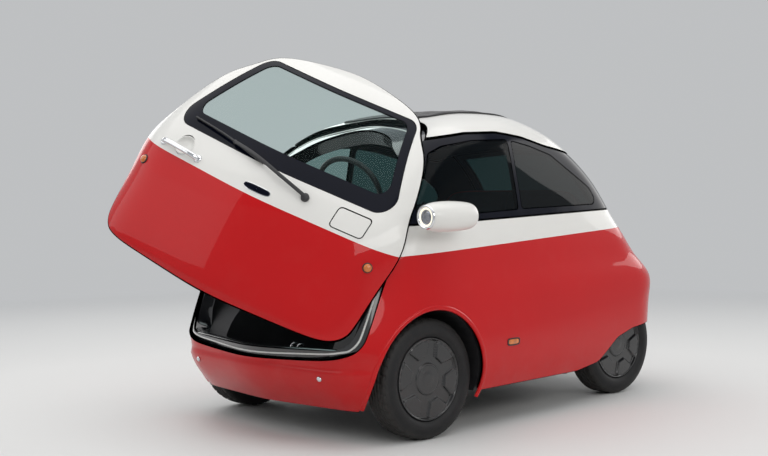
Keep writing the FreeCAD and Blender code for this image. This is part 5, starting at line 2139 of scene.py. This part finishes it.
class Studio:
    """Floor, backdrop, lights and the camera at the photograph's angle."""

    camera_place = (4.5175 - MIDDLE_X, 4.5586, 1.0957)
    yaw = 228.01
    pitch = -1.87
    tilt = -0.64
    lens = 1251.97 * 36.0 / 768.0

    def _pale(self, name: str, colour: Colour) -> bpy.types.Material:
        """Pale floor whose own colour shows to the camera, with the object's shadow kept."""
        s = Shader(name)
        cloud = s.noise(1.2, 3.0)
        matt = s.node("BsdfPrincipled", None, Base_Color=s.blend(cloud * 0.3, colour, shade(colour, 0.96)),
                      Roughness=cloud * 0.05 + 0.6, Specular_IOR_Level=0.2)
        plain = s.node("Emission", None, s.blend(cloud * 0.2, (0.52, 0.53, 0.54), (0.5, 0.51, 0.52)), 1.0)
        x, y, _ = s.axes()
        path = s.node("LightPath")
        camera, glossy, through = (s.value(path, f"Is {kind} Ray") for kind in ("Camera", "Glossy",
                                                                                "Transmission"))
        far = ((x * x + y * y) ** 0.5).ramp(2.6, 7.5)
        seen = (camera + glossy + through).smallest(1.0)
        s.show(s.node("MixShader", None, seen * far, matt.outputs[0], plain.outputs[0]))
        return s.material

    def floor(self) -> None:
        """Round pale floor that curves up into a backdrop."""
        made = Pattern()
        profile = [(9.0, 14.5), (5.0, 14.5), (2.2, 14.3), (1.0, 13.7), (0.25, 12.6), (0.0, 11.0), (0.0, 8.0),
                   (0.0, 5.0), (0.0, 2.0), (0.0, 0.01)]
        turned(made, np.array([0.0, 0.0, -0.0005]), ALONG_Z, profile, 96)
        made.build("studio_floor", (self._pale("floor_pale", (0.74, 0.74, 0.73)),),
                            Matrix.Identity(4))

    def lights(self) -> None:
        """Soft boxes over and beside the car, and a pale world."""
        boxes = (
            ("over", (0.4, 0.2, 5.2), (0.0, 0.0, 0.4), (8.0, 6.0), 190.0),
            ("left_long", (1.2, 7.0, 3.6), (0.0, 0.0, 0.7), (9.0, 2.0), 160.0),
            ("front", (7.5, -3.5, 5.5), (0.6, 0.0, 0.7), (10.0, 6.0), 170.0),
            ("right", (-1.5, -6.0, 3.2), (0.0, 0.0, 0.6), (6.0, 2.6), 80.0),
            ("rear", (-6.0, 1.0, 2.8), (-0.6, 0.0, 0.6), (4.5, 2.4), 70.0),
        )
        for name, place, aim, size, power in boxes:
            lamp = bpy.data.lights.new("soft_" + name, "AREA")
            lamp.shape = "RECTANGLE"
            lamp.size, lamp.size_y = size
            lamp.energy = power
            lamp.color = (1.0, 0.985, 0.965)
            item = bpy.data.objects.new("soft_" + name, lamp)
            item.location = place
            item.rotation_euler = (Vector(aim) - Vector(place)).to_track_quat("-Z", "Y").to_euler()
            bpy.context.scene.collection.objects.link(item)
        world = bpy.data.worlds.new("studio_air")
        world.use_nodes = True
        back = world.node_tree.nodes["Background"]
        back.inputs[0].default_value = (0.8, 0.83, 0.88, 1.0)
        back.inputs[1].default_value = 0.46
        bpy.context.scene.world = world

    def camera(self) -> None:
        """Camera at the photograph's place, looking the same way."""
        yaw, pitch, tilt = (math.radians(v) for v in (self.yaw, self.pitch, self.tilt))
        look = Vector((math.cos(yaw) * math.cos(pitch), math.sin(yaw) * math.cos(pitch), math.sin(pitch)))
        right = Vector((math.sin(yaw), -math.cos(yaw), 0.0))
        up = right.cross(look)
        right, up = right * math.cos(tilt) + up * math.sin(tilt), up * math.cos(tilt) - right * math.sin(tilt)
        data = bpy.data.cameras.new("camera")
        data.sensor_width = 36.0
        data.lens = self.lens
        item = bpy.data.objects.new("camera", data)
        turn = Matrix((right, up, -look)).transposed().to_4x4()
        item.matrix_world = Matrix.Translation(self.camera_place) @ turn
        bpy.context.scene.collection.objects.link(item)
        bpy.context.scene.camera = item

    def build(self) -> None:
        """Makes the whole studio."""
        self.floor()
        self.lights()
        self.camera()
        bpy.context.scene.view_settings.view_transform = "Standard"


def main() -> None:
    """Builds the car's sub-assemblies in order."""
    logging.basicConfig(level=logging.INFO, format="%(message)s")
    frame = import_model()
    finishes = Finishes()
    form = BodyForm()
    LOG.info("form: girth %.3f height %.3f", form.girth, form.height)
    shell = Shell(finishes, form, Regions(form), Spots(form))
    for part in (shell, FrontDoor(finishes, shell), DoorFittings(finishes, shell), Hatch(finishes, shell),
                 SidePods(finishes, shell.spots), SmallTrim(finishes, shell), FoldingTop(finishes, shell),
                 Wheels(finishes)):
        part.build()
    Cabin(finishes).build(frame["nodes"])
    Studio().build()


if __name__ == "__main__":
    main()
